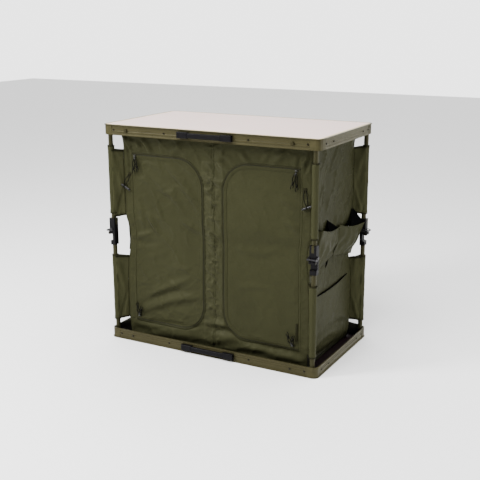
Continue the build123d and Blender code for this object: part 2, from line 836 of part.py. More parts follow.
# Side pockets: two hanging bags above one flat pocket, on both sides of the box
with BuildPart() as pockets:
    for sx in (-1, 1):
        wall_x = fabric_half_x + fabric_clearance
        bag_top_z = knee_z + bag_rise
        bag_bottom_z = bag_top_z - bag_height
        for first, last in bag_spans:
            middle = (first + last) / 2
            for shell, mode in ((0.0, Mode.ADD), (pocket_wall, Mode.SUBTRACT)):
                top_reach = bag_reach - 2 * shell
                top_plane = Plane.XY.offset(bag_top_z + shell)
                low_plane = Plane.XY.offset(bag_bottom_z + 2 * shell)
                with BuildSketch(top_plane):
                    with Locations((sx * (wall_x + shell + top_reach / 2), sx * middle)):
                        Rectangle(top_reach, last - first - 2 * shell)
                with BuildSketch(low_plane):
                    low_reach = bag_low_reach - 2 * shell
                    with Locations((sx * (wall_x + shell + low_reach / 2), sx * middle)):
                        Rectangle(low_reach, last - first - bag_taper - 2 * shell)
                loft(mode=mode)
        first, last = flat_pocket_span
        low = fabric_floor + flat_pocket_rise
        high = low + flat_pocket_height
        middle = (first + last) / 2
        with BuildSketch(Plane.XY.offset(low)):
            with Locations((sx * (wall_x + flat_pocket_reach / 2), sx * middle)):
                Rectangle(flat_pocket_reach, last - first)
        extrude(amount=high - low)
        with BuildSketch(Plane.XY.offset(low + pocket_wall)):
            with Locations((sx * (wall_x + flat_pocket_reach / 2), sx * middle)):
                inner_reach = flat_pocket_reach - 2 * pocket_wall
                Rectangle(inner_reach, last - first - 2 * pocket_wall)
        extrude(amount=high - low, mode=Mode.SUBTRACT)
pockets.part.label = "side_pockets"
export_step(pockets.part, "parts/" + pockets.part.label + ".step")
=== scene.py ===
import math

import bpy
import numpy as np
from mathutils import Matrix, Vector, noise
from mathutils.bvhtree import BVHTree


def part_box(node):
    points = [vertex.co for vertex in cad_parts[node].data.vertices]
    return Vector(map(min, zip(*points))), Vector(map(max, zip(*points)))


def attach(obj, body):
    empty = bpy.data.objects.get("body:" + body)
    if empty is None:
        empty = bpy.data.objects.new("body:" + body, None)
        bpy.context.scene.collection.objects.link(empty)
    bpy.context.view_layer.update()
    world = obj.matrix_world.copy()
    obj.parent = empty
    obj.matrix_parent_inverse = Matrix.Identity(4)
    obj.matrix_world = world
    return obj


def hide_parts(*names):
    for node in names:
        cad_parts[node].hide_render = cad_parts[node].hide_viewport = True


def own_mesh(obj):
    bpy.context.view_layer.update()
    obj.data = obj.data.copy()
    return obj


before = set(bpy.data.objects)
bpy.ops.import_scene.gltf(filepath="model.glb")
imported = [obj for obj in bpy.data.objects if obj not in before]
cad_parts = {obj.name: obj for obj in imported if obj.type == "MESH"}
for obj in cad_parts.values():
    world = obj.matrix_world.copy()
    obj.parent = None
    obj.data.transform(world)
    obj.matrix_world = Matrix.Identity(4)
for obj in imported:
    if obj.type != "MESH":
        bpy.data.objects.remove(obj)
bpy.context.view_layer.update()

mm = 0.001
legNames = ("front_left", "front_right", "back_right", "back_left")
sides = {"left": -1, "right": 1}

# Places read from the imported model, in metres
doorLow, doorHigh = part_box("door_right")
clothLow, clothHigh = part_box("fabric_body")
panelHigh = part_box("top_panel")[1]
cloth = {
    "halfX": doorHigh.x + 39 * mm,
    "halfY": -doorLow.y,
    "floor": clothLow.z + 1 * mm,
    "roof": clothHigh.z,
    "cornerRadius": 7 * mm,
}
base = "bottom_tray"


def legPlace(leg):
    low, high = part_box(leg + "_lower_tube")
    return (low.x + high.x) / 2, (low.y + high.y) / 2


# A shader node of a material or a world; each input takes a value or another node's output
def addNode(holder, kind, inputs, **settings):
    node = holder.node_tree.nodes.new("ShaderNode" + kind)
    for key, value in settings.items():
        setattr(node, key, value)
    for socket, value in inputs.items():
        if isinstance(value, bpy.types.NodeSocket):
            holder.node_tree.links.new(value, node.inputs[socket])
        else:
            node.inputs[socket].default_value = value
    return node


def connect(holder, output, socket, target="Principled BSDF"):
    holder.node_tree.links.new(output, holder.node_tree.nodes[target].inputs[socket])


def newMaterial(name, colour, roughness, metallic=0.0, specular=0.5, tint=(1, 1, 1)):
    material = bpy.data.materials.new(name)
    material.use_nodes = True
    sockets = material.node_tree.nodes["Principled BSDF"].inputs
    sockets["Base Color"].default_value = (*colour, 1)
    sockets["Roughness"].default_value = roughness
    sockets["Metallic"].default_value = metallic
    sockets["Specular IOR Level"].default_value = specular
    sockets["Specular Tint"].default_value = (*tint, 1)
    return material


def axesOf(holder, kind="Object"):
    coords = addNode(holder, "TexCoord", {})
    return addNode(holder, "SeparateXYZ", {"Vector": coords.outputs[kind]}).outputs


def placeOf(material, scale=(1, 1, 1), turn=0):
    coords = addNode(material, "TexCoord", {})
    inputs = {"Vector": coords.outputs["Object"], "Scale": scale, "Rotation": (0, math.radians(turn), 0)}
    return addNode(material, "Mapping", inputs).outputs["Vector"]


def mathNode(material, operation, first, second=0.0):
    return addNode(material, "Math", {0: first, 1: second}, operation=operation).outputs["Value"]


def noiseNode(material, place, scale, detail=3.0, roughness=0.5, kind="FBM"):
    inputs = {"Vector": place, "Scale": scale, "Detail": detail, "Roughness": roughness}
    return addNode(material, "TexNoise", inputs, noise_type=kind).outputs["Fac"]


def rampNode(material, value, stops):
    ramp = addNode(material, "ValToRGB", {"Fac": value})
    elements = ramp.color_ramp.elements
    while len(elements) < len(stops):
        elements.new(0.5)
    for element, (place, colour) in zip(elements, stops):
        element.position = place
        element.color = (*colour, 1)
    return ramp.outputs["Color"]


def addBump(material, height, distance, strength, under=None):
    inputs = {"Height": height, "Distance": distance, "Strength": strength}
    if under is not None:
        inputs["Normal"] = under
    return addNode(material, "Bump", inputs).outputs["Normal"]


def shade(colour, factor):
    return tuple(min(1.0, c * factor) for c in colour)


# Base colour that wanders a little between a darker and a lighter tone
def variedColour(material, colour, scale, spread, detail=4.0):
    fac = noiseNode(material, placeOf(material), scale, detail)
    stops = [(0.3, shade(colour, 1 - spread)), (0.7, shade(colour, 1 + spread))]
    connect(material, rampNode(material, fac, stops), "Base Color")


def variedRoughness(material, scale, low, high):
    fac = noiseNode(material, placeOf(material), scale)
    spread = addNode(material, "MapRange", {"Value": fac, "To Min": low, "To Max": high})
    connect(material, spread.outputs["Result"], "Roughness")


# Height of a plain weave on upright walls: threads across times threads up
def weaveHeight(material, pitch):
    axes = axesOf(material)
    waves = []
    for value in (mathNode(material, "ADD", axes["X"], axes["Y"]), axes["Z"]):
        turn = mathNode(material, "MULTIPLY", value, 2 * math.pi / pitch)
        waves.append(mathNode(material, "SINE", turn))
    return mathNode(material, "MULTIPLY", *waves)


print("materials")

tones = {
    "cloth": (0.0196, 0.0199, 0.0093),
    "binding": (0.0090, 0.0088, 0.0042),
    # Near-black tone for the pockets' lining and for painted shadow under and inside them
    "liningShade": (0.0016, 0.0016, 0.0016),
    "frame": (0.0325, 0.0288, 0.0128),
    "corner": (0.033, 0.0293, 0.0125),
    "tube": (0.021, 0.0195, 0.0085),
    "black": (0.0030, 0.0027, 0.0032),
    "rivet": (0.006, 0.005, 0.003),
    "board": (0.50, 0.37, 0.335),
    # Painted highlight: the lighter band round the table board's rim
    "boardRimHighlight": (0.42, 0.31, 0.12),
    "baseBoard": (0.010, 0.0055, 0.0065),
    "cord": (0.0040, 0.0040, 0.0032),
    "zip": (0.0100, 0.0098, 0.0055),
    "steel": (0.05, 0.05, 0.05),
}
glossTint = {"cloth": (1.0, 0.98, 0.66), "metal": (1.0, 0.97, 0.78)}

clothLook = {
    "patches": 9.0,
    "weavePitch": 1.1 * mm,
    "weaveDepth": 0.06 * mm,
    "crinkleDepth": 0.16,  # in metres, shared out over the fineness of the crinkles
    "creaseScale": 11.0,
    "creaseDepth": 2.2 * mm,
    "creaseSlant": 28,
}


def clothMaterial(name, colour, crease=0.6, gloss=0.03, fineness=26.0):
    material = newMaterial(name, colour, 0.46, specular=gloss, tint=glossTint["cloth"])
    variedColour(material, colour, clothLook["patches"], spread=0.07, detail=6.0)
    variedRoughness(material, scale=30.0, low=0.40, high=0.52)
    threads = weaveHeight(material, clothLook["weavePitch"])
    weave = addBump(material, threads, clothLook["weaveDepth"], strength=0.5)
    crinkle = noiseNode(material, placeOf(material, (1, 1, 0.75)), fineness, detail=4.0, roughness=0.55)
    soft = addBump(material, crinkle, clothLook["crinkleDepth"] / fineness, crease, weave)
    slanted = placeOf(material, (1, 1, 0.6), clothLook["creaseSlant"])
    ridges = {"roughness": 0.45, "kind": "RIDGED_MULTIFRACTAL"}
    sharp = noiseNode(material, slanted, clothLook["creaseScale"], **ridges)
    connect(material, addBump(material, sharp, clothLook["creaseDepth"], crease, soft), "Normal")
    return material


def plasticMaterial(name, colour, roughness, grain=420.0, gloss=0.06):
    material = newMaterial(name, colour, roughness, specular=gloss)
    variedColour(material, colour, scale=60.0, spread=0.18)
    variedRoughness(material, scale=90.0, low=roughness - 0.08, high=roughness + 0.1)
    pits = noiseNode(material, placeOf(material), grain, detail=2.0)
    connect(material, addBump(material, pits, distance=0.3 * mm, strength=0.35), "Normal")
    return material


rail = {
    "height": 35 * mm,
    "grooveDepth": 0.5 * mm,
    "topLines": [(3, 0.0), (5, 0.9), (7, 0.1), (13, 0.0), (15, 1.0), (17, 0.1), (21, 0.0), (26, 0.7)],
    "bottomLines": [(3, 0.0), (5, 0.8), (7, 0.1), (16, 0.0), (25, 0.1), (28, 0.9), (30, 0.1)],
}


# Grooves along a rail. Each line is (millimetres over the rail's foot, share of the groove depth)
def railProfile(material, foot, lines, under):
    inputs = {"Value": axesOf(material)["Z"], "From Min": foot, "From Max": foot + rail["height"]}
    share = addNode(material, "MapRange", inputs).outputs["Result"]
    stops = [(height * mm / rail["height"], (1 - depth,) * 3) for height, depth in lines]
    profile = rampNode(material, share, stops)
    return addBump(material, profile, rail["grooveDepth"], strength=1.0, under=under)


# Satin coated aluminium with fine drawing marks along x or z
def coatedMetal(name, colour, roughness, along="z", grooves=None):
    material = newMaterial(name, colour, roughness, metallic=0.2, specular=0.10, tint=glossTint["metal"])
    variedColour(material, colour, scale=14.0, spread=0.09)
    variedRoughness(material, scale=40.0, low=roughness - 0.06, high=roughness + 0.08)
    stretch = {"x": (0.02, 1, 1), "z": (1, 1, 0.02)}[along]
    marks = noiseNode(material, placeOf(material, stretch), scale=900.0, detail=2.0)
    lines = addBump(material, marks, distance=0.08 * mm, strength=0.3)
    if grooves is not None:
        lines = railProfile(material, *grooves, lines)
    grain = noiseNode(material, placeOf(material), scale=700.0, detail=2.0)
    connect(material, addBump(material, grain, distance=0.1 * mm, strength=0.2, under=lines), "Normal")
    return material


# Smooth board whose colour changes near the rim to a second colour; on the table board this is a lighter
# band, a painted highlight along its edge
def boardMaterial(name, colour, rimHighlightColour, rimHighlightWidth):
    material = newMaterial(name, colour, roughness=0.42, specular=0.10)
    axes = axesOf(material)
    over = []
    for axis, half in (("X", panelHigh.x), ("Y", panelHigh.y)):
        gap = mathNode(material, "ABSOLUTE", axes[axis])
        over.append(mathNode(material, "GREATER_THAN", gap, half - rimHighlightWidth))
    # Mask of the rim band that takes the painted highlight colour
    rim = mathNode(material, "MAXIMUM", *over)
    speck = noiseNode(material, placeOf(material), scale=300.0, detail=4.0)
    body = rampNode(material, speck, [(0.35, shade(colour, 0.965)), (0.65, shade(colour, 1.02))])
    mixed = {"Factor": rim, "A": body, "B": (*rimHighlightColour, 1)}
    mix = addNode(material, "Mix", mixed, data_type="RGBA")
    connect(material, mix.outputs["Result"], "Base Color")
    variedRoughness(material, scale=8.0, low=0.30, high=0.42)
    connect(material, addBump(material, speck, distance=0.1 * mm, strength=0.25), "Normal")
    return material


# The table board's rim band is a painted highlight 6.5 mm wide; the base board's band keeps its own colour
topBoard = boardMaterial("table board", tones["board"], tones["boardRimHighlight"], 6.5 * mm)
baseBoard = boardMaterial("base board", tones["baseBoard"], tones["baseBoard"], 4 * mm)
railFinish = {}
for tray, foot in (("bottom", 0.0), ("top", panelHigh.z - rail["height"])):
    lines = rail[tray + "Lines"]
    railFinish[tray] = coatedMetal(tray + " rail coating", tones["frame"], 0.34, "x", (foot, lines))
cornerFinish = plasticMaterial("corner moulding", tones["corner"], 0.40)
tubeFinish = coatedMetal("tube coating", tones["tube"], 0.38)
blackPlastic = plasticMaterial("black moulding", tones["black"], 0.38)
leverPlastic = plasticMaterial("lever moulding", shade(tones["black"], 2.0), 0.32, gloss=0.2)
barPlastic = plasticMaterial("toggle moulding", tones["black"], 0.30, grain=200.0, gloss=0.25)
rivetFinish = coatedMetal("rivet heads", tones["rivet"], 0.30)
knobFinish = coatedMetal("latch coating", shade(tones["frame"], 0.62), 0.34)
clothFinish = clothMaterial("coated cloth", tones["cloth"])
# The centre strip's cloth is a lit copy of the cloth, painted 6 % lighter for the sheen on its crinkles
stripLitFinish = clothMaterial("crinkled cloth painted lighter", shade(tones["cloth"], 1.06), 1.3, gloss=0.06, fineness=48.0)
sleeveFinish = clothMaterial("sleeve cloth", shade(tones["cloth"], 1.15), 0.3)
# The webs' cloth is a lit copy of the cloth, painted 1.5 times lighter to stand for light falling on them
webLitFinish = clothMaterial("web cloth painted lighter", shade(tones["cloth"], 1.5), 0.45)
bindingFinish = clothMaterial("edge binding", tones["binding"], 0.2)
# Near-black cloth: the pockets' lining, and painted shadow in bag mouths, under bags and inside flat pockets
liningShadeFinish = clothMaterial("pocket lining and painted shadow", tones["liningShade"], 0.3, gloss=0.0)
# The zip tape is a third darker than the cloth: partly its own darker tone, partly painted shade of the
# groove round each door
zipBandShadeFinish = clothMaterial("zip band with painted shade", shade(tones["cloth"], 0.66), 0.1)
threadFinish = clothMaterial("stitching thread", shade(tones["cloth"], 1.15), 0.05)
zipFinish = plasticMaterial("zip coil", tones["zip"], 0.42, grain=900.0)
cordFinish = clothMaterial("braided cord", tones["cord"], 0.15)
steelFinish = coatedMetal("slider metal", tones["steel"], 0.28)


def dress(material, *nodes):
    for name in nodes:
        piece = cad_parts[name]
        for slot in piece.material_slots:
            slot.link = "OBJECT"
            slot.material = material


def softenEdges(width, *nodes):
    for name in nodes:
        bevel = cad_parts[name].modifiers.new("edges", "BEVEL")
        bevel.width = width
        bevel.segments = 2
        bevel.limit_method = "ANGLE"
        bevel.angle_limit = math.radians(40)


dress(topBoard, "top_panel")
dress(baseBoard, "bottom_panel")
for tray in ("top", "bottom"):
    dress(railFinish[tray], tray + "_rails")
    dress(cornerFinish, tray + "_corners")
    dress(rivetFinish, tray + "_rivets", tray + "_leg_pins")
    dress(blackPlastic, tray + "_leg_brackets", tray + "_handle_mounts", tray + "_grip")
    softenEdges(0.35 * mm, tray + "_leg_brackets")
dress(knobFinish, "latch_left", "latch_right", "latch_keepers")
for leg in legNames:
    dress(tubeFinish, leg + "_lower_tube", leg + "_upper_tube")
    dress(blackPlastic, leg + "_lower_knuckle", leg + "_upper_knuckle")
    dress(leverPlastic, leg + "_release_lever")
    dress(rivetFinish, leg + "_knee_pin")
    softenEdges(0.4 * mm, leg + "_lower_knuckle", leg + "_upper_knuckle", leg + "_release_lever")


def makeMesh(name, points, faces, material, smooth=True):
    mesh = bpy.data.meshes.new(name)
    mesh.from_pydata([tuple(p) for p in points], [], faces)
    mesh.materials.append(material)
    mesh.polygons.foreach_set("use_smooth", [smooth] * len(mesh.polygons))
    mesh.update()
    piece = bpy.data.objects.new(name, mesh)
    bpy.context.scene.collection.objects.link(piece)
    return piece


def treeOf(mesh):
    return BVHTree.FromPolygons([v.co for v in mesh.vertices], [p.vertices for p in mesh.polygons])


# One piece from several, keeping each one's material
def joinMeshes(name, parts):
    points, faces, materials, slots, smooth = [], [], [], [], []
    for part in parts:
        mesh = part.data
        first = len(points)
        points += [v.co.copy() for v in mesh.vertices]
        for polygon in mesh.polygons:
            faces.append([first + i for i in polygon.vertices])
            material = mesh.materials[polygon.material_index]
            if material not in materials:
                materials.append(material)
            slots.append(materials.index(material))
            smooth.append(polygon.use_smooth)
    for part in parts:
        bpy.data.objects.remove(part)
    joined = makeMesh(name, points, faces, materials[0])
    for material in materials[1:]:
        joined.data.materials.append(material)
    joined.data.polygons.foreach_set("material_index", slots)
    joined.data.polygons.foreach_set("use_smooth", smooth)
    return joined


def thicken(piece, thickness, offset=-1.0):
    solidify = piece.modifiers.new("cloth thickness", "SOLIDIFY")
    solidify.thickness = thickness
    solidify.offset = offset


def gridFaces(rows, columns, closeAround=False):
    faces = []
    for r in range(rows - 1):
        for c in range(columns if closeAround else columns - 1):
            d = (c + 1) % columns
            faces.append((r * columns + c, r * columns + d, (r + 1) * columns + d, (r + 1) * columns + c))
    return faces


# Points of a sheet row by row: place(s, t), with s from 0 to 1 along a row and t from row to row
def sheetPoints(rows, across, place):
    return [place(c / (across - 1), r / (rows - 1)) for r in range(rows) for c in range(across)]


def sheetMesh(name, rows, across, place, material):
    return makeMesh(name, sheetPoints(rows, across, place), gridFaces(rows, across), material)


# Rings of points, one for each level: place(cosine, sine, level) at each step round
def roundMesh(name, levels, steps, place, material):
    turns = [2 * math.pi * k / steps for k in range(steps)]
    points = [place(math.cos(a), math.sin(a), level) for level in levels for a in turns]
    return makeMesh(name, points, gridFaces(len(levels), steps, True), material)


# Round tube through points, turned as little as possible from one to the next
def tubeAlong(name, path, radius, material, steps, taper=None):
    points = []
    normal = None
    for i, place in enumerate(path):
        ahead = path[min(i + 1, len(path) - 1)] - path[max(i - 1, 0)]
        ahead.normalize()
        if normal is None:
            normal = ahead.orthogonal().normalized()
        normal = (normal - ahead * normal.dot(ahead)).normalized()
        other = ahead.cross(normal)
        r = radius * (taper(i / (len(path) - 1)) if taper else 1)
        for k in range(steps):
            a = 2 * math.pi * k / steps
            points.append(place + (normal * math.cos(a) + other * math.sin(a)) * r)
    faces = gridFaces(len(path), steps, True)
    faces.append(tuple(range(steps))[::-1])
    faces.append(tuple(range(len(points) - steps, len(points))))
    return makeMesh(name, points, faces, material)


# Smooth curve through a few points
def smoothPath(corners, steps):
    corners = [Vector(p) for p in corners]
    ends = [corners[0] * 2 - corners[1], *corners, corners[-1] * 2 - corners[-2]]
    path = []
    for i in range(1, len(ends) - 2):
        p0, p1, p2, p3 = ends[i - 1: i + 3]
        for k in range(steps):
            t = k / steps
            path.append(
                (p1 * 2 + (p2 - p0) * t + (p0 * 2 - p1 * 5 + p2 * 4 - p3) * t * t
                 + (p1 * 3 - p0 - p2 * 3 + p3) * t ** 3) / 2
            )
    path.append(corners[-1].copy())
    return path


# Small moulded block with rounded edges
def roundedBox(name, size, place, material, bevel, turn=None):
    x, y, z = (s / 2 for s in size)
    corners = [Vector((sx * x, sy * y, sz * z)) for sz in (-1, 1) for sy in (-1, 1) for sx in (-1, 1)]
    if turn is not None:
        corners = [turn @ c for c in corners]
    faces = [(0, 2, 3, 1), (4, 5, 7, 6), (0, 1, 5, 4), (2, 6, 7, 3), (0, 4, 6, 2), (1, 3, 7, 5)]
    block = makeMesh(name, [c + Vector(place) for c in corners], faces, material)
    modifier = block.modifiers.new("edges", "BEVEL")
    modifier.width = bevel
    modifier.segments = 3
    applied = bpy.data.meshes.new_from_object(block.evaluated_get(bpy.context.evaluated_depsgraph_get()))
    block.modifiers.clear()
    block.data = applied
    return block


# A soft piece that rides on a body, with a mesh of its own
def softOn(piece, body=base):
    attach(piece, body)
    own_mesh(piece)


print("cloth box")

walls = {
    "waist": 13.0 * mm,
    "waistHeight": 368 * mm,
    "waistAbove": 55 * mm,
    "waistBelow": 85 * mm,
    "bandStart": 280 * mm,
    "roofDraw": -8.0 * mm,
    "footDraw": 6.0 * mm,
    "cell": 4.2 * mm,
    "farCell": 8.0 * mm,
    "thickness": 1.2 * mm,
    "shortShare": 0.35,  # how much of the draw-in the short walls' corners take
    "endReach": 26 * mm,
    "hollow": 3.0 * mm,
    "frontRelief": 1.35,
    "sideTuck": 20 * mm,
    "leftScale": 0.93,  # the left wall's folds lie a little off the right wall's
    "leftShift": 11 * mm,
    "cornerRunOut": 12 * mm,
    "floorRunOut": 8 * mm,
    "roofRunOut": 14 * mm,
    "shelfReach": 12 * mm,
    "zipReach": 9 * mm,
    "seamGroove": (1.4 * mm, 2.2 * mm),
    "hingeGroove": (0.35 * mm, 2.4 * mm),
}

# Folds: points as (across, height), width and height of the ridge, all in millimetres
frontFolds = [
    ([(-175, 628), (-119, 579), (-50, 508)], 10, 4.6),
    ([(-120, 560), (-80, 520), (-48, 478)], 8, 2.6),
    ([(-255, 600), (-196, 557), (-145, 518), (-112, 470)], 11, 3.4),
    ([(-228, 502), (-195, 448)], 8, 2.6),
    ([(-255, 452), (-217, 392)], 9, 4.6),
    ([(-342, 368), (-279, 378), (-236, 396)], 9, 3.6),
    ([(-335, 352), (-270, 350), (-225, 360)], 10, -2.6),
    ([(-120, 446), (-50, 414)], 9, 3.6),
    ([(-300, 520), (-285, 470), (-280, 400)], 9, 2.2),
    ([(-262, 708), (-238, 664)], 9, 3.6),
    ([(-285, 712), (-270, 668)], 7, -2.6),
    ([(-116, 704), (-158, 664)], 9, 3.4),
    ([(-200, 706), (-190, 668)], 8, 1.8),
    ([(-47, 612), (0, 598), (40, 574)], 10, 4.0),
    ([(-36, 566), (0, 551)], 7, 3.0),
    ([(-34, 531), (20, 520)], 7, 2.2),
    ([(4, 672), (68, 624)], 10, 3.4),
    ([(30, 690), (80, 655)], 8, 2.2),
    ([(100, 694), (138, 660)], 8, 3.4),
    ([(210, 708), (180, 668)], 8, 3.0),
    ([(262, 706), (214, 662)], 9, 4.0),
    ([(-349, 724), (-338, 694), (-316, 668)], 7, 5.0),
    ([(-346, 700), (-332, 676), (-328, 640)], 6, -4.0),
    ([(-328, 726), (-320, 700)], 6, 4.0),
    ([(-350, 664), (-336, 640), (-330, 606)], 7, 4.0),
    ([(-334, 560), (-326, 520)], 7, 3.0),
    ([(-344, 716), (-330, 702), (-300, 694)], 6, 4.6),
    ([(-352, 690), (-340, 668), (-322, 650)], 6, 4.2),
    ([(-350, 640), (-338, 610), (-334, 580)], 6, 3.6),
    ([(-300, 700), (-280, 684), (-262, 676)], 6, 3.0),
    ([(334, 700), (322, 668), (318, 640)], 7, 4.0),
    ([(344, 560), (330, 520)], 8, 3.0),
    ([(300, 704), (292, 664)], 8, 2.6),
    ([(262, 490), (312, 462)], 9, 2.6),
    ([(250, 560), (296, 535)], 9, 2.6),
    ([(80, 380), (170, 372), (250, 392)], 12, 1.8),
    ([(90, 250), (200, 262)], 10, 1.4),
    ([(-262, 164), (-187, 205), (-92, 246)], 11, 4.6),
    ([(-305, 96), (-207, 142), (-142, 168), (-48, 190)], 13, 6.4),
    ([(-290, 130), (-200, 176), (-120, 205)], 8, -2.2),
    ([(-180, 272), (-130, 282), (-100, 280)], 8, 2.0),
    ([(-260, 300), (-180, 330)], 10, 1.4),
]
sagFolds = [
    ([(-268, 24), (-168, 36), (-60, 46), (-6, 58)], 21, 9.5),
    ([(-335, 56), (-280, 46), (-215, 58)], 9, 3.6),
    ([(-306, 66), (-200, 70), (-96, 74), (-50, 86)], 7, -6.0),
    ([(-44, 98), (30, 106), (72, 92)], 9, 4.5),
    ([(-30, 34), (66, 58), (128, 58)], 17, 8.0),
    ([(-20, 78), (60, 84), (110, 70)], 9, -4.0),
    ([(38, 22), (150, 42), (220, 40)], 13, 6.5),
    ([(110, 66), (200, 60), (306, 60)], 10, -7.0),
    ([(200, 26), (260, 34), (335, 36)], 12, 6.0),
]
sideFolds = [
    ([(150, 640), (110, 560), (70, 480)], 11, 3.0),
    ([(168, 610), (150, 540), (128, 492)], 9, -5.0),
    ([(140, 600), (120, 540), (104, 500)], 8, 5.0),
    ([(90, 560), (84, 520), (70, 486)], 8, -3.0),
    ([(40, 470), (20, 430), (15, 380)], 9, 6.0),
    ([(95, 480), (80, 440), (90, 400)], 10, 5.0),
    ([(-90, 470), (-100, 420), (-80, 360)], 9, 4.0),
    ([(-150, 600), (-90, 420)], 14, 2.0),
    ([(120, 330), (60, 250)], 12, 1.6),
    ([(-110, 66), (-20, 74), (90, 50), (160, 30)], 13, 5.0),
    ([(-120, 40), (20, 40), (120, 22)], 12, 4.0),
    ([(20, 104), (110, 84), (165, 60)], 10, -3.5),
    ([(60, 190), (-60, 90)], 14, 1.8),
]
backFolds = [
    ([(-200, 640), (-60, 500)], 13, 3.0),
    ([(210, 620), (90, 470)], 13, 3.4),
    ([(-250, 200), (-60, 260)], 14, 3.0),
    ([(260, 140), (40, 230)], 15, 4.0),
    ([(-300, 44), (-100, 60), (90, 52), (320, 40)], 17, 13.0),
    ([(-280, 84), (0, 92), (280, 80)], 10, -6.0),
]

# Wrinkles: kind, height, size, seed, stretch along the angle, angle and zone; millimetres and degrees
frontWrinkles = [
    ("soft", 2.8, 95, 3.1, 2.0, -48, "offDoor"),
    ("crease", 3.0, 60, 7.7, 2.6, -46, "offDoor"),
    ("crease", 1.9, 34, 5.2, 2.2, 24, "offDoor"),
    ("crease", 7.2, 20, 1.3, 1.7, -30, "strip"),
    ("soft", 5.0, 17, 9.9, 1.8, -22, "strip"),
    ("soft", 2.4, 26, 4.4, 2.4, 62, "top"),
    ("soft", 2.4, 30, 2.2, 2.6, 12, "foot"),
    ("soft", 7.0, 17, 6.6, 2.0, 60, "corners"),
]
sideWrinkles = [
    ("soft", 2.6, 80, 13.1, 2.0, 60, "all"),
    ("crease", 1.5, 52, 17.7, 2.4, 58, "all"),
    ("soft", 5.6, 46, 21.7, 2.4, 66, "aboveBags"),
    ("crease", 4.2, 40, 29.3, 2.2, 58, "aboveBags"),
    ("soft", 4.0, 28, 15.5, 2.4, 74, "byBags"),
    ("soft", 4.0, 24, 19.5, 2.6, 68, "backEdge"),
]
backWrinkles = [
    ("soft", 3.0, 110, 23.1, 1.8, 40, "all"),
    ("crease", 1.5, 60, 27.7, 2.4, -40, "all"),
]


def bell(value, centre, reach):
    return np.exp(-(((value - centre) / reach) ** 2))


# Length along a line up to each of its points
def lengthsOf(line):
    return np.concatenate([[0], np.cumsum(np.linalg.norm(np.diff(line, axis=0), axis=1))])


# Sum of the folds at points (u, z) in metres; result in metres
def foldField(u, z, folds):
    total = np.zeros_like(u)
    for corners, width, height in folds:
        line = np.array([(p.x, p.y) for p in smoothPath([(a, b, 0) for a, b in corners], 6)]) * mm
        nearest = np.full(u.shape, 1e9)
        share = np.zeros_like(u)
        lengths = lengthsOf(line)
        for k in range(len(line) - 1):
            d = line[k + 1] - line[k]
            t = np.clip(((u - line[k, 0]) * d[0] + (z - line[k, 1]) * d[1]) / (d @ d), 0, 1)
            gap = np.hypot(u - line[k, 0] - t * d[0], z - line[k, 1] - t * d[1])
            better = gap < nearest
            nearest = np.where(better, gap, nearest)
            share = np.where(better, (lengths[k] + t * (lengths[k + 1] - lengths[k])) / lengths[-1], share)
        ends = 0.25 + 0.75 * np.sin(np.pi * np.clip(share, 0, 1)) ** 0.7
        w = width * mm * (0.65 + 0.35 * ends)
        ridge = np.exp(-((nearest / w) ** 2)) - 0.28 * np.exp(-(((nearest - 2 * w) / w) ** 2))
        total += height * mm * ends * ridge
    return total


# Smooth noise over a wall, features about size across, longer by stretch along the angle
def noiseField(u, z, size, seed, stretch, angle):
    a = math.radians(angle)
    along = (u * math.cos(a) + z * math.sin(a)) / (size * stretch)
    across = (-u * math.sin(a) + z * math.cos(a)) / size
    flat = [noise.noise(Vector((p, q, seed))) for p, q in zip(along.ravel(), across.ravel())]
    return np.array(flat).reshape(u.shape)


# Thin ridges where the noise crosses nought, as in cloth that was folded small
def creaseField(u, z, size, seed, stretch, angle):
    field = noiseField(u, z, size, seed, stretch, angle)
    return np.clip(1 - np.abs(field) * 5.5, 0, 1) ** 2


# Sum of the wrinkles, each by how much its zone shows of it
def wrinkleField(u, z, wrinkles, zones):
    total = np.zeros_like(u)
    for kind, height, size, seed, stretch, angle, zone in wrinkles:
        field = creaseField if kind == "crease" else noiseField
        total += height * mm * field(u, z, size * mm, seed, stretch, angle) * zones[zone]
    return total


def frontShape(x, z):
    zones = {
        "offDoor": np.where((x > 40 * mm) & (x < 314 * mm) & (z > 68 * mm), 0.35, 1.0),  # right door calmer
        "strip": bell(x, 0, 34 * mm) * (0.8 + 0.2 * bell(z, 480 * mm, 200 * mm)),
        "top": bell(z, 700 * mm, 34 * mm),
        "foot": bell(z, 40 * mm, 34 * mm),
        "corners": bell(np.abs(x), 350 * mm, 26 * mm)
        * (bell(z, 690 * mm, 60 * mm) + bell(z, 45 * mm, 40 * mm)),
    }
    shape = walls["frontRelief"] * foldField(x, z, frontFolds) + foldField(x, z, sagFolds)
    shape += wrinkleField(x, z, frontWrinkles, zones)
    for place, (depth, reach) in ((0, walls["seamGroove"]), (314 * mm, walls["hingeGroove"])):
        shape -= depth * bell(np.abs(x), place, reach)
    return shape


def sideShape(y, z):
    zones = {
        "all": 1.0,
        "aboveBags": np.clip((z - 470 * mm) / (60 * mm), 0, 1),
        "byBags": bell(z, 440 * mm, 60 * mm),
        "backEdge": bell(y, 130 * mm, 60 * mm) * bell(z, 590 * mm, 90 * mm),
    }
    shape = foldField(y, z, sideFolds) + wrinkleField(y, z, sideWrinkles, zones)
    tuck = bell(z, cloth["floor"], 34 * mm) * np.clip((90 * mm - y) / (250 * mm), 0, 1)
    return shape - walls["sideTuck"] * tuck


def backShape(x, z):
    return foldField(x, z, backFolds) + wrinkleField(x, z, backWrinkles, {"all": 1.0})


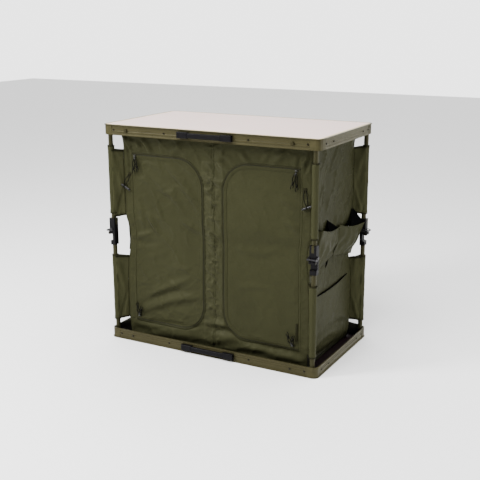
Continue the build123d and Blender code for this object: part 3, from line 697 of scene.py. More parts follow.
# How far the corners of the box are drawn in at a height
def drawIn(z):
    above = np.exp(-((np.maximum(z - walls["waistHeight"], 0) / walls["waistAbove"]) ** 4))
    below = np.exp(-((np.maximum(walls["waistHeight"] - z, 0) / walls["waistBelow"]) ** 2))
    return (
        walls["waist"] * above * below
        + walls["roofDraw"] * bell(z, cloth["roof"], walls["endReach"])
        + walls["footDraw"] * bell(z, cloth["floor"], walls["endReach"])
    )


# How far a point of the front or back moves in with the corners
def pullIn(x, z):
    share = np.clip((np.abs(x) - walls["bandStart"]) / (cloth["halfX"] - walls["bandStart"]), 0, 1) ** 1.3
    return x - np.sign(x) * drawIn(z) * share


# Grid lines that hold every key line, with about one cell between lines
def stretchOf(keys, cell):
    lines = []
    for a, b in zip(keys[:-1], keys[1:]):
        count = max(1, round(abs(b - a) / cell))
        lines += list(np.linspace(a, b, count, endpoint=False))
    return lines + [keys[-1]]


radius = cloth["cornerRadius"]
straightX = cloth["halfX"] - radius
straightY = cloth["halfY"] - radius
hinge = doorHigh.x
inner = doorLow.x
doorTop, doorFoot = doorHigh.z, doorLow.z
topRadius, footRadius = 95 * mm, 88 * mm
# Round corners of a door: radius, height of the centre, and whether it is the upper one
doorCorners = ((topRadius, doorTop - topRadius, 1), (footRadius, doorFoot + footRadius, -1))

frontLines = stretchOf(
    [-straightX, -hinge - 3 * mm, -hinge, -hinge + 3 * mm, -inner, -4 * mm, -1.6 * mm, 0, 1.6 * mm, 4 * mm,
     inner, hinge - 3 * mm, hinge, hinge + 3 * mm, straightX], walls["cell"])
sideLines = stretchOf([-straightY, straightY], 6 * mm)
backLines = stretchOf([straightX, -straightX], walls["farCell"])
heights = stretchOf(
    [cloth["floor"], doorFoot, doorFoot + footRadius, 376 * mm, doorTop - topRadius, doorTop, cloth["roof"]],
    walls["cell"])

# Walls round the box: name, lines, way out, and the corner that follows
around = [
    ("front", frontLines, (0, -1), (1, -1)),
    ("right", sideLines, (1, 0), (1, 1)),
    ("back", backLines, (0, 1), (-1, 1)),
    ("left", sideLines[::-1], (-1, 0), (-1, -1)),
]
# Columns round the box: wall, place along the wall, base point and outward direction
columns = []
turnSteps = 4
for quarter, (wall, lines, (outwardX, outwardY), (cornerX, cornerY)) in enumerate(around):
    for u in lines:
        foot = (u, outwardY * cloth["halfY"]) if outwardX == 0 else (outwardX * cloth["halfX"], u)
        columns.append((wall, u, foot, (outwardX, outwardY)))
    for k in range(1, turnSteps):
        a = math.pi / 2 * (quarter - 1 + k / turnSteps)
        out = (math.cos(a), math.sin(a))
        foot = (cornerX * straightX + radius * out[0], cornerY * straightY + radius * out[1])
        columns.append(("corner", 0, foot, out))

along, baseX, baseY, outX, outY = np.array([(u, *foot, *out) for _, u, foot, out in columns]).T
isWall = {w: np.array([c[0] == w for c in columns]) for w in ("front", "right", "back", "left")}
gridZ = np.repeat(np.array(heights)[:, None], len(columns), axis=1)
gridU = np.repeat(along[None, :], len(heights), axis=0)


# Zip line of a door as (x, z), from the top of the hinge round to its foot
def doorOutline(side, steps=14):
    points = [(hinge, doorTop)]
    for r, middle, up in doorCorners:
        start = 0.5 if up > 0 else 1.0
        for k in range(steps + 1):
            a = math.pi * (start + 0.5 * k / steps)
            points.append((inner + r + r * math.cos(a), middle + r * math.sin(a)))
    points.append((hinge, doorFoot))
    return [(side * x, z) for x, z in points]


# How far a point lies inside a door's outline; less than nought outside
def doorDepth(x, z):
    x = np.abs(x)
    depth = np.minimum(np.minimum(x - inner, hinge - x), np.minimum(z - doorFoot, doorTop - z))
    for r, middle, up in doorCorners:
        bend = r - np.hypot(x - inner - r, z - middle)
        depth = np.where((x < inner + r) & ((z - middle) * up > 0), bend, depth)
    return depth


# Grid points near the round zip corners move onto the zip line
def snapToZip(x, z):
    slack = 0.001 * mm
    for r, middle, up in doorCorners:
        dx, dz = np.abs(x) - inner - r, z - middle
        far = np.hypot(dx, dz)
        near = (dx < slack) & (dz * up > -slack) & (np.abs(far - r) < 0.55 * walls["cell"])
        scale = np.where(near, r / np.maximum(far, slack), 1)
        x = np.where(near, np.sign(x) * (inner + r + dx * scale), x)
        z = np.where(near, middle + dz * scale, z)
    return x, z


front = isWall["front"]
gridU[:, front], gridZ[:, front] = snapToZip(gridU[:, front], gridZ[:, front])

wallShapes = {
    "front": frontShape,
    "right": sideShape,
    "left": lambda y, z: sideShape(y * walls["leftScale"] + walls["leftShift"], z),
    "back": backShape,
}
shape = np.zeros_like(gridU)
for wall, shapeOf in wallShapes.items():
    shape[:, isWall[wall]] = shapeOf(gridU[:, isWall[wall]], gridZ[:, isWall[wall]])
byZip = bell(doorDepth(gridU[:, front], gridZ[:, front]), 0, walls["zipReach"])
shape[:, front] *= 1 - 0.6 * byZip  # zips are stiff

# Folds run out towards the upright corners, the roof and the floor
longWalls = front | isWall["back"]
shortWalls = isWall["right"] | isWall["left"]
wallHalf = np.where(longWalls, straightX, straightY)
edgeGap = np.clip((wallHalf[None, :] - np.abs(gridU)) / walls["cornerRunOut"], 0, 1)
edgeGap[:, ~(longWalls | shortWalls)] = 0
floorGap = np.clip((gridZ - cloth["floor"]) / walls["floorRunOut"], 0, 1)
roofGap = np.clip((cloth["roof"] - gridZ) / walls["roofRunOut"], 0, 1)
shape *= (0.25 + 0.75 * edgeGap) * floorGap * roofGap

# The shelves inside hold the walls out at their height
shelfLow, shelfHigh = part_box("shelf_right")
byShelf = bell(gridZ, (shelfLow.z + shelfHigh.z) / 2, walls["shelfReach"])
shape += byShelf * (np.maximum(shape, 0) - shape)

drawn = drawIn(gridZ)
across = np.clip(np.abs(gridU) / wallHalf[None, :], 0, 1)
hollow = walls["hollow"] * np.cos(across * math.pi / 2) * (1 - byShelf)
placeX = baseX[None, :] * (1 - drawn / cloth["halfX"])
placeX[:, longWalls] = pullIn(gridU[:, longWalls], gridZ[:, longWalls])
placeX += outX[None, :] * (shape - np.where(shortWalls[None, :], hollow, 0))
placeY = baseY[None, :] * (1 - walls["shortShare"] * drawn / cloth["halfY"]) + outY[None, :] * shape
gridPoints = np.stack([placeX, placeY, gridZ], axis=2).reshape(-1, 3)

# Faces, told apart into the box and both doors
wallFaces, doorFaces = [], {-1: [], 1: []}
count = len(columns)
allFaces = gridFaces(len(heights), count, True)
for face in allFaces:
    if all(front[i % count] for i in face):
        u = np.mean([gridU.ravel()[i] for i in face])
        v = np.mean([gridZ.ravel()[i] for i in face])
        if doorDepth(u, v) > 0:
            doorFaces[1 if u > 0 else -1].append(face)
            continue
    wallFaces.append(face)

closed = makeMesh("closedBox", gridPoints, allFaces, clothFinish)
surface = treeOf(closed.data)
bpy.data.objects.remove(closed)


# Level rays that find the cloth: where they start, and their gaps from its edges
probe = {"frontStart": -0.3, "sideStart": 0.5, "levelGap": 1 * mm, "frontGap": 8 * mm, "sideGap": 16 * mm}


def between(value, half):
    return max(-half, min(half, value))


# Point where a level ray meets the cloth, and the way out of the cloth there
def touch(x, y, z, heading):
    z = max(cloth["floor"] + probe["levelGap"], min(cloth["roof"] - probe["levelGap"], z))
    place, normal, _, _ = surface.ray_cast(Vector((x, y, z)), heading)
    return place, -normal if normal.dot(heading) > 0 else normal


def onFront(x, z):
    x = float(pullIn(between(x, cloth["halfX"] - probe["frontGap"]), z))
    return touch(x, probe["frontStart"], z, Vector((0, 1, 0)))


def onSide(side, y, z):
    y = between(y, cloth["halfY"] - probe["sideGap"])
    return touch(side * probe["sideStart"], y, z, Vector((-side, 0, 0)))


# Points and faces of a part of the grid, numbered afresh
def pickFaces(faces):
    used = sorted({i for face in faces for i in face})
    index = {old: new for new, old in enumerate(used)}
    return [gridPoints[i] for i in used], [tuple(index[i] for i in face) for face in faces]


# Rings that close the box at its floor or roof
def capPoints(row, level, rings=5):
    ring = gridPoints.reshape(len(heights), count, 3)[row]
    points = []
    for r in range(rings + 1):
        t = 1 - r / (rings + 0.4)
        points += [(p[0] * t, p[1] * t, p[2] + level * (1 - t)) for p in ring]
    faces = gridFaces(rings + 1, count, True)
    faces.append(tuple(range(rings * count, (rings + 1) * count)))
    return points, faces


points, faces = pickFaces(wallFaces)
boxWalls = makeMesh("boxWalls", points, faces, clothFinish)
boxWalls.data.materials.append(stripLitFinish)
# Faces of the centre strip between the doors take the lighter painted copy of the cloth
for polygon in boxWalls.data.polygons:
    place = polygon.center
    if place.y < -0.8 * cloth["halfY"] and abs(place.x) < inner and doorFoot < place.z < doorTop:
        polygon.material_index = 1
caps = []
for label, row, level in (("boxFloor", 0, 1.0 * mm), ("boxRoof", len(heights) - 1, -4.0 * mm)):
    points, faces = capPoints(row, level)
    caps.append(makeMesh(label, points, faces, clothFinish))
clothBox = joinMeshes("clothBox", [boxWalls, *caps])
thicken(clothBox, walls["thickness"])

doorPanels = {}
for name, side in sides.items():
    points, faces = pickFaces(doorFaces[side])
    doorPanels[side] = makeMesh("doorPanel_" + name, points, faces, clothFinish)
    thicken(doorPanels[side], walls["thickness"])

print("zips and seams")

trim = {
    "step": 7 * mm,
    "flapProfile": [(1.0, -0.2), (1.2, 1.5), (2.2, 2.1), (4.5, 1.6), (8.5, 1.2), (11.5, 1.0),
                    (12.4, 0.7), (12.6, -0.2)],
    "tapeProfile": [(-8.0, -0.2), (-7.6, 0.7), (-4.5, 1.0), (-1.8, 1.2), (-1.1, 0.8), (-0.9, -0.3)],
    "weltProfile": [(-0.4, -0.2), (0.3, 0.7), (2.6, 1.0), (5.2, 0.7), (6.2, -0.2)],
    "seamProfile": [(0.9, -0.2), (1.4, 0.8), (4.0, 1.1), (6.4, 0.7), (6.8, -0.2)],
    "coilInset": 0.1 * mm,
    "coilRadius": 1.2 * mm,
    "flapStitch": 9.5 * mm,
    "hemStitch": -11.5 * mm,
    "hingeStitches": (5 * mm, 11 * mm),
    "edgeStitches": (6 * mm, 13 * mm),
    "seamStitches": [(3.0, 0.8), (5.6, 0.8), (17, 0), (-14, 0)],  # place and height over the cloth
    "stitchGap": 4.2 * mm,
    "stitch": (2.6 * mm, 0.55 * mm),
    "threadProfile": [(-1, -0.1, 0.5), (-0.5, 0.55, 1), (0.5, 0.55, 1), (1, -0.1, 0.5)],
}


# Points every step along a broken line of (x, z)
def evenPath(points, step):
    line = np.array(points)
    lengths = lengthsOf(line)
    places = np.linspace(0, lengths[-1], max(2, round(lengths[-1] / step) + 1))
    return np.stack([np.interp(places, lengths, line[:, 0]), np.interp(places, lengths, line[:, 1])], axis=1)


# Direction out of the door, in the plane of the front, at a point of its outline
def sideways(path, i, side):
    d = path[min(i + 1, len(path) - 1)] - path[max(i - 1, 0)]
    d = d / np.linalg.norm(d)
    return np.array([d[1], -d[0]]) * side


# Strip that lies on the front cloth. The profile is (sideways, proud) in millimetres
def frontStrip(name, path, outward, profile, material):
    points = []
    for i, (x, z) in enumerate(path):
        sx, sz = outward(i)
        for s, h in profile:
            place, _ = onFront(x + sx * s * mm, z + sz * s * mm)
            points.append(place + Vector((0, -1, 0)) * h * mm)
    return makeMesh(name, points, gridFaces(len(path), len(profile)), material)


# Short threads along a path of (x, z) on the front, proud of the cloth by a gap
def stitchRow(path, proud=0.0):
    def place(x, z):
        spot, normal = onFront(x, z)
        return spot + Vector((0, -proud, 0)), normal

    path = evenPath(path, trim["stitchGap"])
    length, half = (size / 2 for size in trim["stitch"])
    points, faces = [], []
    for a, b in zip(path[:-1], path[1:]):
        middle = (a + b) / 2
        spot, normal = place(*middle)
        d = (b - a) / np.linalg.norm(b - a)
        run = place(*(middle + d * length))[0] - place(*(middle - d * length))[0]
        run.normalize()
        side = run.cross(normal).normalized()
        first = len(points)
        for t, lift, spread in trim["threadProfile"]:
            for s in (-1, 0, 1):
                height = lift * mm * (1.0 if s == 0 else 0.35)
                points.append(spot + run * length * t + side * half * s * spread + normal * height)
        faces += [tuple(first + i for i in face) for face in gridFaces(4, 3)]
    return makeMesh("stitches", points, faces, threadFinish)


onDoor = {}
for name, side in sides.items():
    outline = evenPath(doorOutline(side), trim["step"])

    def outward(i):
        return sideways(outline, i, -side)

    def offset(gap):
        return [place + outward(i) * gap for i, place in enumerate(outline)]

    flap = frontStrip("flap", outline, outward, trim["flapProfile"], clothFinish)
    softOn(joinMeshes("zipFlap_" + name, [flap, stitchRow(offset(trim["flapStitch"]), 1.5 * mm)]))

    # Tape along the door's outline, darkened with painted groove shade
    tape = frontStrip("tape", outline, outward, trim["tapeProfile"], zipBandShadeFinish)
    coilPath = [onFront(*place)[0] + Vector((0, -0.3 * mm, 0)) for place in offset(trim["coilInset"])]
    parts = [tape, tubeAlong("coil", coilPath, trim["coilRadius"], zipFinish, 8)]
    parts.append(stitchRow(offset(trim["hemStitch"])))
    for gap in trim["hingeStitches"]:
        x = side * (hinge - gap)
        parts.append(stitchRow([(x, doorFoot + 4 * mm), (x, doorTop - 4 * mm)]))
    zipOnDoor = joinMeshes("zipTape_" + name, parts)
    softOn(zipOnDoor, "door_" + name)
    onDoor[side] = [zipOnDoor]

    x = side * (hinge + 1.5 * mm)
    weltPath = evenPath([(x, doorFoot - 6 * mm), (x, doorTop + 8 * mm)], trim["step"])
    parts = [frontStrip("welt", weltPath, lambda i: (side, 0), trim["weltProfile"], clothFinish)]
    for gap in trim["edgeStitches"]:
        x = side * (hinge + gap)
        parts.append(stitchRow([(x, 46 * mm), (x, cloth["roof"] - 24 * mm)]))
    softOn(joinMeshes("hingeSeam_" + name, parts))

    softOn(doorPanels[side], "door_" + name)
    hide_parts("door_" + name)

seamPath = evenPath([(0.0, 30 * mm), (0.0, cloth["roof"] - 12 * mm)], trim["step"])
parts = [frontStrip("seam", seamPath, lambda i: (1, 0), trim["seamProfile"], clothFinish)]
for gap, proud in trim["seamStitches"]:
    parts.append(stitchRow([(gap * mm, 60 * mm), (gap * mm, cloth["roof"] - 14 * mm)], proud * mm))
softOn(joinMeshes("centreSeam", parts))
softOn(clothBox)
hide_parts("fabric_body")

print("knuckle windows")

window = {
    "width": 8.5 * mm,
    "below": 23 * mm,
    "above": 0.4 * mm,
    "thickness": 1.0 * mm,
    "proud": 0.35 * mm,
    "bevel": 0.25 * mm,
    "probeLevel": 4 * mm,  # under the knuckle's top
}


# The windows look the way the leg folds and back, between the knuckle's prongs
def knuckleWindow(leg, alongY):
    low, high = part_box(leg + "_upper_knuckle")
    x, y = legPlace(leg)
    tree = treeOf(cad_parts[leg + "_upper_knuckle"].data)
    foot, head = high.z - window["below"], high.z + window["above"]
    middle = (foot + head) / 2
    parts = []
    for side in (-1, 1):
        away = Vector((0, side, 0)) if alongY else Vector((side, 0, 0))
        start = Vector((x, y, high.z - window["probeLevel"])) + away * 0.1
        spot = tree.ray_cast(start, -away)[0]
        place = Vector((spot.x, spot.y, middle)) + away * (window["proud"] - window["thickness"] / 2)
        size = [window["width"], window["thickness"], head - foot]
        if not alongY:
            size[0], size[1] = size[1], size[0]
        parts.append(roundedBox("window", size, place, tubeFinish, window["bevel"]))
    piece = joinMeshes("knuckleWindow_" + leg, parts)
    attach(piece, leg + "_upper")


for leg in legNames:
    knuckleWindow(leg, leg in ("front_right", "back_left"))

print("sleeves and webs")

sleeve = {
    "radius": 11.2 * mm,
    "upper": (452 * mm, 684 * mm),
    "lower": (66 * mm, 300 * mm),
    "rows": 34,
    "steps": 24,
    "wrinkle": 0.75 * mm,
    "hem": 8 * mm,
    "hemSwell": 0.5 * mm,
    "bandProfile": [(-2.2, 0.1), (-2.0, 0.9), (2.0, 0.9), (2.2, 0.1)],  # height and swell
    "thickness": 0.8 * mm,
}
web = {
    "rows": 42,
    "across": 12,
    "inset": 2 * mm,
    "lean": 4 * mm,
    "taper": 1.4,
    "ripple": 5.0 * mm,
    "rippleOf": {"back_right": 8.5 * mm, "front_left": 6.5 * mm},
    "foldSlope": 150 * mm,
    "foldAt": 0.16,
    "foldReach": 13 * mm,
    "foldHeight": 6.0 * mm,
    "binding": 6.0 * mm,
    "upperOf": {"front_left": (438 * mm, 673 * mm)},
    "thickness": 1.0 * mm,
}


def sleeveTube(x, y, low, high, seed):
    def place(cosine, sine, z):
        wrinkle = noise.noise(Vector((cosine * 1.3 + seed, sine * 1.3, z * 42)))
        out = sleeve["radius"] + sleeve["wrinkle"] * wrinkle
        if min(z - low, high - z) < sleeve["hem"]:
            out += sleeve["hemSwell"]
        return x + out * cosine, y + out * sine, z

    levels = np.linspace(low, high, sleeve["rows"])
    return roundMesh("tube", levels, sleeve["steps"], place, sleeveFinish)


# Dark bound end of a sleeve
def sleeveBand(x, y, z):
    def place(cosine, sine, level):
        out = sleeve["radius"] + level[1] * mm
        return x + out * cosine, y + out * sine, z + level[0] * mm

    return roundMesh("band", sleeve["bandProfile"], sleeve["steps"], place, bindingFinish)


# Web from the box corner to its leg: two layers of cloth that part to go round the leg
def webSheet(leg, low, high, seed):
    x, y = legPlace(leg)
    sx, sy = math.copysign(1, x), math.copysign(1, y)
    rows, across = web["rows"], web["across"]
    rippleHeight = web["rippleOf"].get(leg, web["ripple"])

    def place(s, t, side):
        z = low + (high - low) * t + web["lean"] * (1 - s) * (1 - 2 * t)
        cornerX = cloth["halfX"] - drawIn(z) - web["inset"]
        cornerY = cloth["halfY"] - walls["shortShare"] * drawIn(z) - web["inset"]
        corner = Vector((sx * cornerX, sy * cornerY, z))
        along = Vector((x - corner.x, y - corner.y, 0)).normalized()
        normal = Vector((-along.y, along.x, 0)) * sx * sy * -1
        half = 1 * mm + (sleeve["radius"] - 1 * mm) * s ** web["taper"]
        ripple = noise.noise(Vector((s * 1.6 + seed, z * 16 - s * 1.4, seed)))
        foldPlace = low + web["foldAt"] * (high - low)
        fold = bell(z + web["foldSlope"] * (s - 0.5), foldPlace, web["foldReach"])
        wander = (ripple * rippleHeight + fold * web["foldHeight"]) * math.sin(math.pi * s)
        return corner.lerp(Vector((x, y, z)), s) + normal * (half * side + wander)

    layers = [sheetPoints(rows, across, lambda s, t: place(s, t, side)) for side in (1, -1)]
    # Both layers take the lighter painted copy of the cloth
    parts = [makeMesh("layer", points, gridFaces(rows, across), webLitFinish) for points in layers]
    for row, up in ((0, 1), (rows - 1, -1)):
        grow = Vector((0, 0, up * web["binding"]))
        drop = Vector((0, 0, -0.12 * grow.z))
        band = []
        for c in range(across):
            a, b = (points[row * across + c] for points in layers)
            out = (a - b).normalized() * 0.8 * mm
            band += [a + out + grow, a + out + drop, (a + b) / 2 + drop * 1.6, b - out + drop, b - out + grow]
        parts.append(makeMesh("band", band, gridFaces(across, 5), bindingFinish))
    return parts


seed = 1.7
allWebs = []
for leg in legNames:
    x, y = legPlace(leg)
    for half in ("lower", "upper"):
        low, high = sleeve[half]
        parts = [sleeveTube(x, y, low, high, seed), sleeveBand(x, y, low), sleeveBand(x, y, high)]
        tube = joinMeshes(f"sleeve_{leg}_{half}", parts)
        thicken(tube, sleeve["thickness"])
        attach(tube, f"{leg}_{half}")
        if half == "upper":
            low, high = web["upperOf"].get(leg, (low, high))
        allWebs.append(joinMeshes(f"web_{leg}_{half}", webSheet(leg, low, high, seed)))
        thicken(allWebs[-1], web["thickness"], 0.0)
        softOn(allWebs[-1])
        seed += 2.3
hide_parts("leg_sleeves")

# Rivets that hold the keepers, seen on the front of the bottom rail
keeperRivet = {
    "radius": 3.6 * mm,
    "height": 1.8 * mm,
    "sunk": 0.2 * mm,
    "inset": 2 * mm,
    "rings": 4,
    "steps": 20,
}
keepersLow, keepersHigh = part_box("latch_keepers")
rivetsLow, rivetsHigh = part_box("bottom_rivets")
rivetLevel = (rivetsLow.z + rivetsHigh.z) / 2
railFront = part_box("bottom_rails")[0].y
for name, side in sides.items():
    x = (keepersLow.x if side < 0 else keepersHigh.x) - side * keeperRivet["inset"]

    def place(cosine, sine, bend):
        ring = keeperRivet["radius"] * max(math.cos(bend), 0.02)
        y = railFront + keeperRivet["sunk"] - keeperRivet["height"] * math.sin(bend)
        return x + ring * cosine, y, rivetLevel + ring * sine

    bends = np.linspace(0, math.pi / 2, keeperRivet["rings"])
    piece = roundMesh("keeperRivet_" + name, bends, keeperRivet["steps"], place, rivetFinish)
    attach(piece, base)

# Black tabs that hold the foot of the box to the legs
tab = {
    "low": 14 * mm,
    "legHigh": 45 * mm,
    "boxHigh": 62 * mm,
    "inset": 14 * mm,
    "ripple": 3 * mm,
    "bow": 5 * mm,
    "thickness": 1.6 * mm,
}
for leg in legNames:
    x, y = legPlace(leg)
    sx, sy = math.copysign(1, x), math.copysign(1, y)

    def place(s, t):
        high = tab["boxHigh"] + (tab["legHigh"] - tab["boxHigh"]) * s
        z = tab["low"] + (high - tab["low"]) * t
        corner = Vector((sx * (cloth["halfX"] - tab["inset"]), sy * (cloth["halfY"] - tab["inset"] / 2), z))
        spot = corner.lerp(Vector((x - sx * 2 * mm, y + sy * 0.5 * mm, z)), s)
        spot.x += noise.noise(Vector((s * 2, t * 2, x * 9))) * tab["ripple"]
        spot.y -= sy * tab["bow"] * math.sin(math.pi * s) * (1 - t)
        return spot

    piece = sheetMesh("cornerTab_" + leg, 10, 12, place, cordFinish)
    thicken(piece, tab["thickness"], 0.0)
    softOn(piece)

print("pulls and toggles")

pull = {
    "cordRadius": 1.6 * mm,
    "strandGaps": (0.8 * mm, 0.7 * mm),
    "bow": 1.5 * mm,
    "knotRadius": 3.1 * mm,
    "knotAt": (-5.5 * mm, -2 * mm, 2 * mm, 5.5 * mm),
    "tails": ((-1, 13 * mm), (1, 18 * mm)),
    "tailStart": 4 * mm,
    "tailBow": 2.4 * mm,
    "tailSpread": 3.2 * mm,
    "endGap": 6.4 * mm,
    "proud": 3.0 * mm,
    "bodySize": (11 * mm, 3.4 * mm, 8 * mm),
    "bridgeSize": (7.5 * mm, 2.2 * mm, 2.6 * mm),
    "bridgeOut": 2.6 * mm,
    "tabSize": (3.6 * mm, 1.2 * mm, 9 * mm),
    "tabAt": 0.16,
    "eyeOut": 3.4 * mm,
    "eyeUp": 3 * mm,
    "bevels": {"body": 1.0 * mm, "bridge": 0.7 * mm, "tab": 0.5 * mm},
}


# Two strands of cord from a slider's eye that meet in a knot with two tails
def cordLoop(start, end, width):
    run = (end - start).normalized()
    side = run.cross(Vector((0, -1, 0))).normalized()
    parts = []
    for s in (-1, 1):
        middle = (start + end) / 2 + side * (s * width / 2)
        middle.y -= pull["bow"]
        startGap, endGap = (s * gap for gap in pull["strandGaps"])
        path = smoothPath([start + side * startGap, middle, end + side * endGap], 8)
        parts.append(tubeAlong("strand", path, pull["cordRadius"], cordFinish, 8))
    knot = smoothPath([end + run * place for place in pull["knotAt"]], 5)
    parts.append(tubeAlong("knot", knot, pull["knotRadius"], cordFinish, 10,
                           taper=lambda t: 0.55 + 0.75 * math.sin(math.pi * t) ** 0.8))
    for s, reach in pull["tails"]:
        tail = end + run * reach + side * s * pull["tailSpread"]
        line = [end + run * pull["tailStart"], (end + tail) / 2 + side * s * pull["tailBow"], tail]
        parts.append(tubeAlong("tail", smoothPath(line, 6), pull["cordRadius"] * 0.9, cordFinish, 8))
    return parts


# Slider body with its bridge, and for each pull a small metal tab and its cord
def zipSlider(x, z, pulls):
    y = onFront(x, z)[0].y - pull["proud"]
    bevels = pull["bevels"]
    bridgePlace = (x, y - pull["bridgeOut"], z)
    parts = [
        roundedBox("sliderBody", pull["bodySize"], (x, y, z), zipFinish, bevels["body"]),
        roundedBox("sliderBridge", pull["bridgeSize"], bridgePlace, steelFinish, bevels["bridge"]),
    ]
    for dx, dz, width in pulls:
        eye = Vector((x + dx * 0.12 * mm, y - pull["eyeOut"], z + math.copysign(pull["eyeUp"], dz)))
        end = Vector((x + dx * mm, y - pull["endGap"], z + dz * mm))
        start = eye.lerp(end, pull["tabAt"])
        turn = (end - eye).to_track_quat("Z", "Y").to_matrix()
        parts.append(roundedBox("tab", pull["tabSize"], start, steelFinish, bevels["tab"], turn))
        parts += cordLoop(start, end, width * mm)
    return parts


# Place across, distance from the zip's end, and each pull's reach across and up and its width
sliders = {
    "left_top": (-302, 4, [(-2, -42, 9), (11, -34, 8)]),
    "left_bottom": (-304, 14, [(-3, 34, 9), (10, 22, 9)]),
    "right_top": (300, 4, [(-9, -40, 9), (4, -46, 8)]),
    "right_bottom": (294, 12, [(-12, 30, 10), (4, 22, 8)]),
}
for name, (x, drop, pulls) in sliders.items():
    z = doorTop - drop * mm if name.endswith("top") else doorFoot + drop * mm
    piece = joinMeshes("zipPull_" + name, zipSlider(x * mm, z, pulls))
    softOn(piece, "slider_" + name)
    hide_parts("zip_slider_" + name)

# Dark slot where the right-hand zip ends
slotPath = evenPath([(hinge - 7 * mm, 96 * mm), (hinge - 7 * mm, 156 * mm)], trim["step"])
slotProfile = [(-4.6, 0.0), (-3.8, 1.4), (0.0, 1.9), (3.8, 1.4), (4.6, 0.0)]
slotStrip = frontStrip("zipEnd_right", slotPath, lambda i: (1, 0), slotProfile, bindingFinish)
softOn(slotStrip, "door_right")
onDoor[1].append(slotStrip)

for side, panel in doorPanels.items():
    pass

toggle = {
    "radius": 3.8 * mm,
    "ringRadius": 4.1 * mm,
    "ringAt": (0.44, 0.47, 0.53, 0.56),  # shares of the bar's length
    "elasticRadius": 1.35 * mm,
    "loopTop": (2.5 * mm, -1.0 * mm, 0),
    "loopBow": (5.5 * mm, -3.5 * mm, 0),
    "loopFoot": (1.0 * mm, 0, 2 * mm),
    "anchorSize": (13 * mm, 2.4 * mm, 9 * mm),
    "anchorOut": (0, -1.0 * mm, 2 * mm),
    "anchorBevel": 0.8 * mm,
    "tilt": 1 * mm,
    "proud": 7 * mm,
}
toggles = {
    "left": {"bar": ((-368, 556), (-323, 533)), "hang": (-326, 588)},
    "right": {"bar": ((321, 533), (358, 549)), "hang": (329, 594)},
}


# Offset on a toggle's elastic loop, mirrored for its other strand
def loopOffset(key, s):
    x, y, z = toggle[key]
    return Vector((s * x, y, z))


toggleParts = []
for setting in toggles.values():
    (ax, az), (bx, bz) = setting["bar"]
    hangX, hangZ = (v * mm for v in setting["hang"])
    anchor = onFront(hangX, hangZ)[0]
    y = min(anchor.y, -cloth["halfY"]) - toggle["proud"]
    a, b = Vector((ax * mm, y, az * mm)), Vector((bx * mm, y - toggle["tilt"], bz * mm))
    path = [a.lerp(b, t) for t in np.linspace(0, 1, 15)]
    toggleParts.append(tubeAlong("bar", path, toggle["radius"], barPlastic, 14,
                                 taper=lambda t: 0.62 + 0.42 * math.sin(math.pi * t) ** 0.45))
    groove = [a.lerp(b, t) for t in toggle["ringAt"]]
    toggleParts.append(tubeAlong("ring", groove, toggle["ringRadius"], cordFinish, 14))
    middle = (a + b) / 2
    for s in (-1, 1):
        top = Vector((hangX, anchor.y, hangZ)) + loopOffset("loopTop", s)
        bow = (top + middle) / 2 + loopOffset("loopBow", s)
        line = smoothPath([top, bow, middle + loopOffset("loopFoot", s)], 8)
        toggleParts.append(tubeAlong("elastic", line, toggle["elasticRadius"], cordFinish, 8))
    place = anchor + Vector(toggle["anchorOut"])
    toggleParts.append(
        roundedBox("anchor", toggle["anchorSize"], place, bindingFinish, toggle["anchorBevel"]))
togglePiece = joinMeshes("doorToggles", toggleParts)
softOn(togglePiece)
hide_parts("door_toggles")

print("pockets")

# Lips and feet run from front to back, as (x, y, z) on the right side; all in millimetres
bags = {
    "front": {
        "lip": ((384, -160, 468), (357, 44, 432)), "foot": ((353, -166, 318), (354, 10, 352)),
        "apex": (-49, 476), "open": 0.42, "bulge": 9, "seed": 31.0,
        # Lines of painted shadow under the bag, start and end as (y, z) in millimetres
        "gapShadowLines": [((-6, 358), (-19, 346)), ((-24, 339), (-48, 317))],
    },
    "back": {
        "lip": ((357, 44, 438), (391, 184, 422)), "foot": ((354, 0, 345), (350, 171, 311)),
        "apex": (152, 475), "open": 0.50, "bulge": 12, "seed": 37.0,
        "gapShadowLines": [],
    },
}
bagCloth = {
    "rows": 26,
    "across": 30,
    "lipSag": 9 * mm,
    "lipRadius": 2.0 * mm,
    "folds": 7 * mm,
    "clearance": 1.5 * mm,
    "wallLip": 356 * mm,
    "leftReach": 362 * mm,  # the bag by the front left corner hardly stands out
}
gusset = {"cornerInset": 4 * mm, "sunk": 1 * mm, "rise": 2 * mm, "pleat": 3 * mm, "wingRows": 9}
gapShadow = {"radius": 2.4 * mm, "out": 3.6 * mm, "steps": 7}
mouth = {"underLip": (-2.5 * mm, 0, -3 * mm), "apexOut": 1.5 * mm, "hollow": 5 * mm, "offWall": 1.2 * mm}
flatPocket = {
    "mouth": ((-124, 236), (141, 244)),
    "foot": 78,
    "proud": 3.0,
    "offWall": 0.6 * mm,
    "sag": 3 * mm,
    "gape": 2.5 * mm,
    "shadowRadius": 1.9 * mm,
    "shadowAt": (1.5 * mm, 2.2 * mm),  # behind the mouth and over it
}


def wallX(z):
    return cloth["halfX"] - drawIn(z)


# Point of a bag's lip, which sags between its ends
def lipPoint(setting, side, u):
    a, b = (Vector(p) * mm for p in setting["lip"])
    if side < 0:
        a.x = min(a.x, bagCloth["leftReach"])
    lip = a.lerp(b, u)
    lip.z -= bagCloth["lipSag"] * math.sin(math.pi * u)
    return lip


